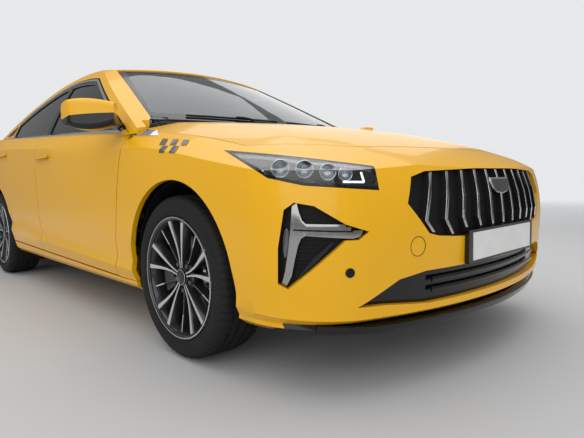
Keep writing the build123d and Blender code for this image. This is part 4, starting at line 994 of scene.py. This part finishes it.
def makeLowerFront():
    bars = []
    for high, low in bumper["barRows"]:
        def barPoint(u, v):
            x, z = (2 * u - 1) * bumper["barReach"], low + (high - low) * v
            return x, noseY(x, z) + 0.016 + 0.003 * abs(2 * v - 1), z
        bars.append(patch(40, 5, barPoint, 0.008))
    fit(joinAll(bars), "lower_grille_bars", pianoBlack, degrees=40)
    low, high = bumper["splitter"]

    def splitterPoint(u, v):
        x = (2 * u - 1) * bumper["splitterReach"]
        fade = bumper["splitterLift"] * max(0.0, abs(2 * u - 1) - 0.8) / 0.2
        return x, noseY(x, 0.235) - 0.004 + 0.012 * (1 - v) + fade, low + (high - low) * v + fade
    fit(edged(patch(90, 3, splitterPoint, 0.012), 0.002), "front_splitter", pianoBlack, degrees=40)
    for side, sign in sides:
        x, z, radius = bumper["sensor"]
        spot, normal, turn = onBumper(sign * x, z)
        bpy.ops.mesh.primitive_cylinder_add(vertices=32, radius=radius, depth=0.006,
                                            location=spot + normal * 0.0005, rotation=turn)
        fit(edged(settle(bpy.context.object), 0.0012), f"park_sensor_{side}", lampDark)
    x, z, radius = bumper["towEye"]
    spot, normal, turn = onBumper(x, z)
    bpy.ops.mesh.primitive_torus_add(major_segments=64, minor_segments=6, major_radius=radius,
                                     minor_radius=0.0011, location=spot, rotation=turn)
    dress(settle(bpy.context.object), "tow_eye_seam", sealRubber, "body", "black_plastic")


makeLowerFront()

# Mirrors: painted above, gloss black below.
mirror = {"split": 1.019, "slope": 0.1, "middle": -0.95, "arm": 0.9}
for side, sign in sides:
    cap = merged(f"mirror_{side}")
    cutAlong(cap, (0, mirror["middle"], mirror["split"]), (0, mirror["slope"], 1))
    inMaterial(cap, bodyPaint)
    paintWhere(cap, pianoBlack, lambda face: abs(face.center.x) <= mirror["arm"] or face.center.z
               + mirror["slope"] * (face.center.y - mirror["middle"]) <= mirror["split"])
    dress(softShade(cap, 50), f"mirror_{side}_shell", None, f"front_{side}_door", "body_paint", f"mirror_{side}")
print("mirrors ready")

# The bright line over the doors' windows, as (y, z) points.
doorTop = {"foot": (-1.003, 0.95), "corner": (-0.262, 1.338), "peak": (0.17, 1.385), "middle": (0.6, 1.356),
           "rear": (0.95, 1.297), "end": (1.268, 1.225), "gap": 0.0045, "wide": 0.013,
           "thick": 0.003, "edge": 0.001, "spans": {"front": (-0.95, 0.214), "rear": (0.222, 1.262)}}


def topLine():
    front = [doorTop["foot"], (-0.75, 1.0817), (-0.5, 1.2125), doorTop["corner"]]
    roofLine = arcThrough(doorTop["corner"], doorTop["peak"], doorTop["middle"], 12)
    rearLine = arcThrough(doorTop["middle"], doorTop["rear"], doorTop["end"], 10)
    return front + roofLine[1:] + rearLine[1:]


def spanOf(line, start, stop):
    # The part of a line between two places along the car, cut exactly there.
    ends = [(cut, a[1] + (b[1] - a[1]) * (cut - a[0]) / (b[0] - a[0]))
            for a, b in zip(line, line[1:]) for cut in (start, stop) if a[0] < cut < b[0]]
    return sorted({point for point in line if start <= point[0] <= stop} | set(ends))


for side, sign in sides:
    for end, (start, stop) in doorTop["spans"].items():
        line = spanOf(topLine(), start, stop)
        outer, inner = offsetLine(line, doorTop["gap"]), offsetLine(line, doorTop["gap"] + doorTop["wide"])
        band = wrapped(outer + inner[::-1], skins[f"{end}_door_{side}"], sign, trimLift, doorTop["thick"], 0.05)
        fit(edged(band, doorTop["edge"]), f"{end}_door_{side}_top_line", chrome, "bare_steel",
            body=f"{end}_{side}_door")
print("window lines ready")

# The corner between the windscreen pillar and each wing, and the bright strip that lies on it.
wingCorner = {
    "fill": [(0.8897, -1.248, 0.8727), (0.8427, -1.18, 0.9377), (0.8467, -1.08, 0.9507), (0.8927, -1.07, 0.9013)],
    "strip": [(0.856, -1.274, 0.9125), (0.835, -1.232, 0.941), (0.856, -1.072, 0.95), (0.876, -1.064, 0.93)],
}
for side, sign in sides:
    for key, depth in (("fill", 0.002), ("strip", 0.006)):
        piece = outline(wingCorner[key], lambda x, y, z: (sign * x, y, z))
        if piece.data.polygons[0].normal.z < 0:
            flipped(piece)
        modify(piece, "SOLIDIFY", thickness=depth, offset=-1.0)
        if key == "fill":
            fit(piece, f"wing_corner_{side}", bodyPaint, "body_paint")
        else:
            fit(edged(piece, 0.002), f"wing_strip_{side}", chrome, "bare_steel")

# The cowl's black ends, under the arc of the bonnet's rear edge.
cowlEnd = {"spans": [("inner", 0.686, 0.7165), ("outer", 0.7335, 0.772)], "bonnet": (1.3939, 2.5589),
           "glass": (0.9122, 2.0522), "corner": (0.745, -1.0), "slope": -1.4545, "pin": (-1.018, 0.968),
           "top": 1.008, "gap": 0.005, "room": 0.01}


def cowlPoint(sign, x, v):
    edge = cowlEnd["bonnet"][0] - math.sqrt(cowlEnd["bonnet"][1] ** 2 - x * x)
    cornerX, cornerY = cowlEnd["corner"]
    foot = cowlEnd["glass"][0] - math.sqrt(cowlEnd["glass"][1] ** 2 - x * x)
    if x > cornerX:
        foot = cornerY + cowlEnd["slope"] * (x - cornerX)
    start = edge + cowlEnd["gap"]
    y = start + v * (max(foot, start + 0.001) - start)
    pinY, pinZ = cowlEnd["pin"]
    reach = abs(edge - pinY) - cowlEnd["room"]
    ahead = min(0.0, y - pinY)
    return sign * x, y, min(cowlEnd["top"], pinZ + math.sqrt(max(0.0, reach * reach - ahead * ahead)))


for side, sign in sides:
    for part, start, end in cowlEnd["spans"]:
        piece = patch(6, 14, lambda u, v: cowlPoint(sign, start + u * (end - start), v), 0.002, -1.0)
        fit(piece, f"cowl_end_{part}_{side}", grainBlack, degrees=50)

# A plain plate on the grille, where the badge sits.
badge = {"outline": [(-0.076, 0.703), (0.076, 0.703), (0.079, 0.688), (0.07, 0.662), (0.045, 0.646), (0.0, 0.639),
                     (-0.045, 0.646), (-0.07, 0.662), (-0.079, 0.688)], "middle": 0.672, "out": 0.0115}
plate = slab(badge["outline"], lambda x, z: (x, noseY(0.0, z) - 0.001, z), (0, badge["out"], 0), 0.003)
fit(plate, "grille_badge_plate", satinChrome, "bare_steel")
inner = [(0.88 * x, badge["middle"] + (z - badge["middle"]) * 0.82) for x, z in badge["outline"]]
plate = slab(inner, lambda x, z: (x, noseY(0.0, z) - 0.0028, z), (0, 0.004, 0), 0.0012)
fit(plate, "grille_badge_face", castSteel, "bare_steel")

# Black border of both screens, from their feet and heads at the side and in the middle.
screens = {
    "windscreen": {"foot": (0.738, -1.004), "footMiddle": -1.133, "head": (0.567, -0.26), "headMiddle": -0.349,
                   "side": 0.034, "low": 0.07, "high": 0.04},
    "back_window": {"foot": (0.634, 1.89), "footMiddle": 1.954, "head": (0.555, 0.921), "headMiddle": 0.941,
                    "side": 0.034, "low": 0.06, "high": 0.04},
}


def screenEdge(screen, inset, t):
    # The screen's edge in plan: t runs 0..1 along the foot, 1..2 up one side, 2..3 along the head, 3..4 down.
    way = 1 if screen["head"][1] > screen["foot"][1] else -1
    side, low, high = (screen[key] * inset for key in ("side", "low", "high"))
    footX, footY = screen["foot"][0] - side, screen["foot"][1] + way * low
    headX, headY = screen["head"][0] - side, screen["head"][1] - way * high
    footDrop = screen["footMiddle"] - screen["foot"][1]
    headDrop = screen["headMiddle"] - screen["head"][1]
    if t < 1:
        x = footX * (2 * t - 1)
        return x, footY + footDrop * (1 - (x / footX) ** 2)
    if t < 2:
        return footX + (headX - footX) * (t - 1), footY + (headY - footY) * (t - 1)
    if t < 3:
        x = headX * (1 - 2 * (t - 2))
        return x, headY + headDrop * (1 - (x / headX) ** 2)
    return -headX - (footX - headX) * (t - 3), headY + (footY - headY) * (t - 3)


def onTop(target, x, y, lift):
    hit, spot, normal = target.ray_cast(Vector((x, y, 2.0)), Vector((0, 0, -1)))[:3]
    return spot + normal * lift if hit else Vector((x, y, 0.0))


for name, screen in screens.items():
    def borderPoint(u, v):
        outer, inner = (Vector(screenEdge(screen, inset, (4 * u) % 4)) for inset in (0.0, 1.0))
        return onTop(nodes[name], *outer.lerp(inner, v), trimLift)
    fit(patch(160, 3, borderPoint, 0.0008), name + "_border", pianoBlack, degrees=50)

# Wipers: (x, distance up from the screen's foot) of a blade's two ends, and its arm's pivot at x.
wipers = {"blades": [((0.64, 0.036), (0.06, 0.036), 0.42), ((-0.02, 0.036), (-0.56, 0.04), -0.2)],
          "foot": -1.14, "bow": 0.14, "half": 0.745}


def overFoot(x, up, y, z):
    footY = wipers["foot"] + wipers["bow"] * (x / wipers["half"]) ** 2
    return onTop(nodes["windscreen"], x, footY + up, 0.0) + Vector((0, y, z))


for index, (start, stop, pivot) in enumerate(wipers["blades"]):
    steps = [Vector(start).lerp(Vector(stop), step / 8) for step in range(9)]
    middle = (start[0] + stop[0]) / 2
    arm = [overFoot(pivot, 0.012, -0.004, 0.012), overFoot(pivot * 0.8 + middle * 0.2, 0.028, 0, 0.022),
           overFoot(middle, 0.036, 0, 0.015)]
    wiper = joinAll([pipe([overFoot(*step, 0, 0.009) for step in steps], 0.0052), pipe(arm, 0.0062)])
    fit(wiper, f"wiper_{index + 1}", grainBlack, degrees=60)
print("screens ready")

# Mirror glass on the side that looks back.
mirrorGlass = brushed("Mirror glass", (0.8, 0.82, 0.84), 0.07, 40.0)
mirrorFace = {"inner": (0.956, -0.929), "outer": (1.07, -0.832), "back": (-0.651, 0.759), "proud": 0.003,
              "low": 0.984, "high": 1.078, "round": 0.01}
for side, sign in sides:
    def glassPoint(u, v):
        inner, outer, back = (Vector(mirrorFace[key]) for key in ("inner", "outer", "back"))
        x, y = inner.lerp(outer, u) + back * mirrorFace["proud"]
        edge = mirrorFace["round"] * abs(2 * u - 1) ** 4
        low, high = mirrorFace["low"] + edge + 0.012 * u, mirrorFace["high"] - edge - 0.004 * u
        return sign * x, y, low + (high - low) * v
    fit(patch(16, 4, glassPoint, 0.002), f"mirror_{side}_glass", mirrorGlass, "window_glass", 30,
        f"front_{side}_door")
print("mirror glass ready")

# Seats: stuffed blocks with bolsters and sewn channels.
seat = {"lean": math.radians(16), "channel": 0.02, "seam": 0.035, "round": 5.0, "cuts": 17, "wideCuts": 23,
        "x": 0.37, "posts": 0.06, "postEnds": [(0.17, 0.79), (0.208, 0.88)],
        "base": (0.2, -0.42, 0.05), "baseZ": 0.2135, "baseTall": 0.055}


def pad(half, matrix, crown, bolster, channels, cuts):
    bpy.ops.mesh.primitive_cube_add(size=2.0)
    piece = bpy.context.object
    editing(piece)
    bpy.ops.mesh.subdivide(number_cuts=cuts)
    done()
    power = seat["round"]
    for vertex in piece.data.vertices:
        x, y, z = vertex.co
        reach = (abs(x) ** power + abs(y) ** power + abs(z) ** power) ** (-1 / power)
        x, y, z = x * reach, y * reach, z * reach
        u, v = max(-1.0, min(1.0, x)), max(-1.0, min(1.0, y))
        height = z * half[2]
        if z > 0:
            height += crown * math.cos(u * math.pi / 2) * math.cos(v * math.pi / 2) * z
            height += bolster * max(0.0, (abs(x) - 0.55) / 0.45) ** 0.7 * (1 - abs(y) ** 6) * z
            for axis, place in channels:
                height -= seat["channel"] * math.exp(-(((x, y)[axis] - place) / seat["seam"]) ** 2) * z
        vertex.co = (x * half[0], y * half[1], height)
    piece.data.transform(matrix)
    return softShade(modify(piece, "SUBSURF", levels=1, render_levels=1), 60)


def leaning(x, y, z):
    lean = seat["lean"]
    turn = Matrix(((1, 0, 0), (0, math.sin(lean), -math.cos(lean)), (0, math.cos(lean), math.sin(lean)))).to_4x4()
    return Matrix.Translation((x, y, z)) @ turn


def flat(x, y, z, tilt):
    return Matrix.Translation((x, y, z)) @ Matrix.Rotation(math.radians(tilt), 4, "X")


# Each pad: its half sizes, its place, its crown and bolster, and its sewn channels as (axis, place).
seatPads = {
    "front_cushion": ((0.243, 0.27, 0.082), (-0.188, 0.338, -5), 0.012, 0.022, [(0, -0.56), (0, 0.56), (1, 0.1)]),
    "front_backrest": ((0.238, 0.245, 0.052), (0.117, 0.585), 0.01, 0.02,
                       [(0, -0.56), (0, 0.56), (1, -0.45), (1, 0.05), (1, 0.5)]),
    "front_headrest": ((0.126, 0.066, 0.042), (0.208, 0.884), 0.012, 0.0, []),
    "rear_cushion": ((0.612, 0.262, 0.044), (0.846, 0.387, -4), 0.01, 0.012, [(0, -0.3), (0, 0.3)]),
    "rear_backrest": ((0.606, 0.245, 0.05), (1.16, 0.59), 0.01, 0.012,
                      [(0, -0.3), (0, 0.3), (1, -0.4), (1, 0.3)]),
    "rear_headrest": ((0.115, 0.052, 0.038), (1.238, 0.868), 0.01, 0.0, []),
}


def addPad(kind, x, ending="", node=None):
    half, place, crown, bolster, channels = seatPads[kind]
    matrix = flat(x, *place) if len(place) == 3 else leaning(x, *place)
    cuts = seat["wideCuts"] if half[0] > 0.5 else seat["cuts"]
    piece = pad(half, matrix, crown, bolster, channels, cuts)
    dress(piece, kind + ending, leather, "body", "cabin_trim", *([node] if node else []))


for side, sign in sides:
    x = seat["x"] * sign
    addPad("front_cushion", x, "_" + side, "front_seats")
    addPad("front_backrest", x, "_" + side, "front_seats")
    addPad("front_headrest", x, "_" + side)
    posts = [pipe([(x + way * seat["posts"], *end) for end in seat["postEnds"]], 0.006, 2) for way in (-1, 1)]
    fit(joinAll(posts), f"headrest_posts_{side}", chrome, "bare_steel", 60)
    half, front, back = seat["base"]
    base = slab([(x - half, front), (x + half, front), (x + half, back), (x - half, back)],
                lambda across, along: (across, along, seat["baseZ"]), (0, 0, seat["baseTall"]), 0.006)
    fit(base, f"front_seat_base_{side}", grainBlack)
addPad("rear_cushion", 0, node="rear_seat")
addPad("rear_backrest", 0, node="rear_seat")
for index, x in enumerate((-0.4, 0.0, 0.4)):
    addPad("rear_headrest", x, f"_{index + 1}")
print("seats ready")

# Inside: the hood over the instruments, the screen in the middle and the selector.
inside = {
    "instrument_hood": ([(0.2, -0.84), (0.54, -0.84), (0.53, -0.7), (0.21, -0.7)], 0.93, 0.03, 0.01,
                        cabinBlack),
    "selector_plate": ([(-0.05, -0.42), (0.05, -0.42), (0.05, -0.24), (-0.05, -0.24)], 0.56, 0.004, 0.0015,
                       pianoBlack),
}
for name, (points, low, tall, bevel, material) in inside.items():
    fit(slab(points, lambda x, y: (x, y, low), (0, 0, tall), bevel), name, material)
panel = slab([(-0.15, 0.775), (0.15, 0.775), (0.15, 0.915), (-0.15, 0.915)], lambda x, z: (x, -0.6795, z),
             (0, 0.012, 0), 0.004)
fit(panel, "centre_screen", pianoBlack)
bpy.ops.mesh.primitive_uv_sphere_add(segments=24, ring_count=12, radius=0.028, location=(0, -0.34, 0.606))
knob = settle(bpy.context.object)
fit(joinAll([knob, pipe([(0, -0.33, 0.564), (0, -0.34, 0.6)], 0.008, 2)]), "selector", leather, degrees=60)

# The tail: bright lines in the lamps, and two reflectors in the bumper.
tailGlow = glowing("Tail lamp line", (0.9, 0.02, 0.015), 0.7, 0.25, (0.45, 0.01, 0.008), (0.6, 0.02, 0.015))
tail = {"line": (0.952, 0.962), "lineReach": (0.6, 0.895), "bootReach": 0.545,
        "reflector": (((0.58, 0.76), 0.452), ((0.56, 0.78), 0.472))}


def fromBehind(points, target, thickness, cell=0.02):
    return laid(points, lambda x, z: (x, 3.2, z), (0, -1, 0), target, 0.0004, thickness, cell)


def tailStrip(start, stop, target, name, body="body", cell=0.02):
    low, high = tail["line"]
    strip = fromBehind([(start, low), (stop, low), (stop, high), (start, high)], nodes[target], 0.0015, cell)
    dress(strip, name, tailGlow, body, "lamp_lens")


for side, sign in sides:
    tailStrip(*(sign * x for x in tail["lineReach"]), "tail_lamps", f"tail_line_{side}")
    low, high = ([(sign * x, z) for x in reach] for reach, z in tail["reflector"])
    spot = edged(fromBehind(low + high[::-1], skins["rear_bumper"], 0.003), 0.001, 50)
    fit(spot, f"rear_reflector_{side}", redLens, "lamp_lens", 40)
tailStrip(-tail["bootReach"], tail["bootReach"], "boot_lamp", "boot_lamp_line", "boot", 0.04)
print("tail ready")
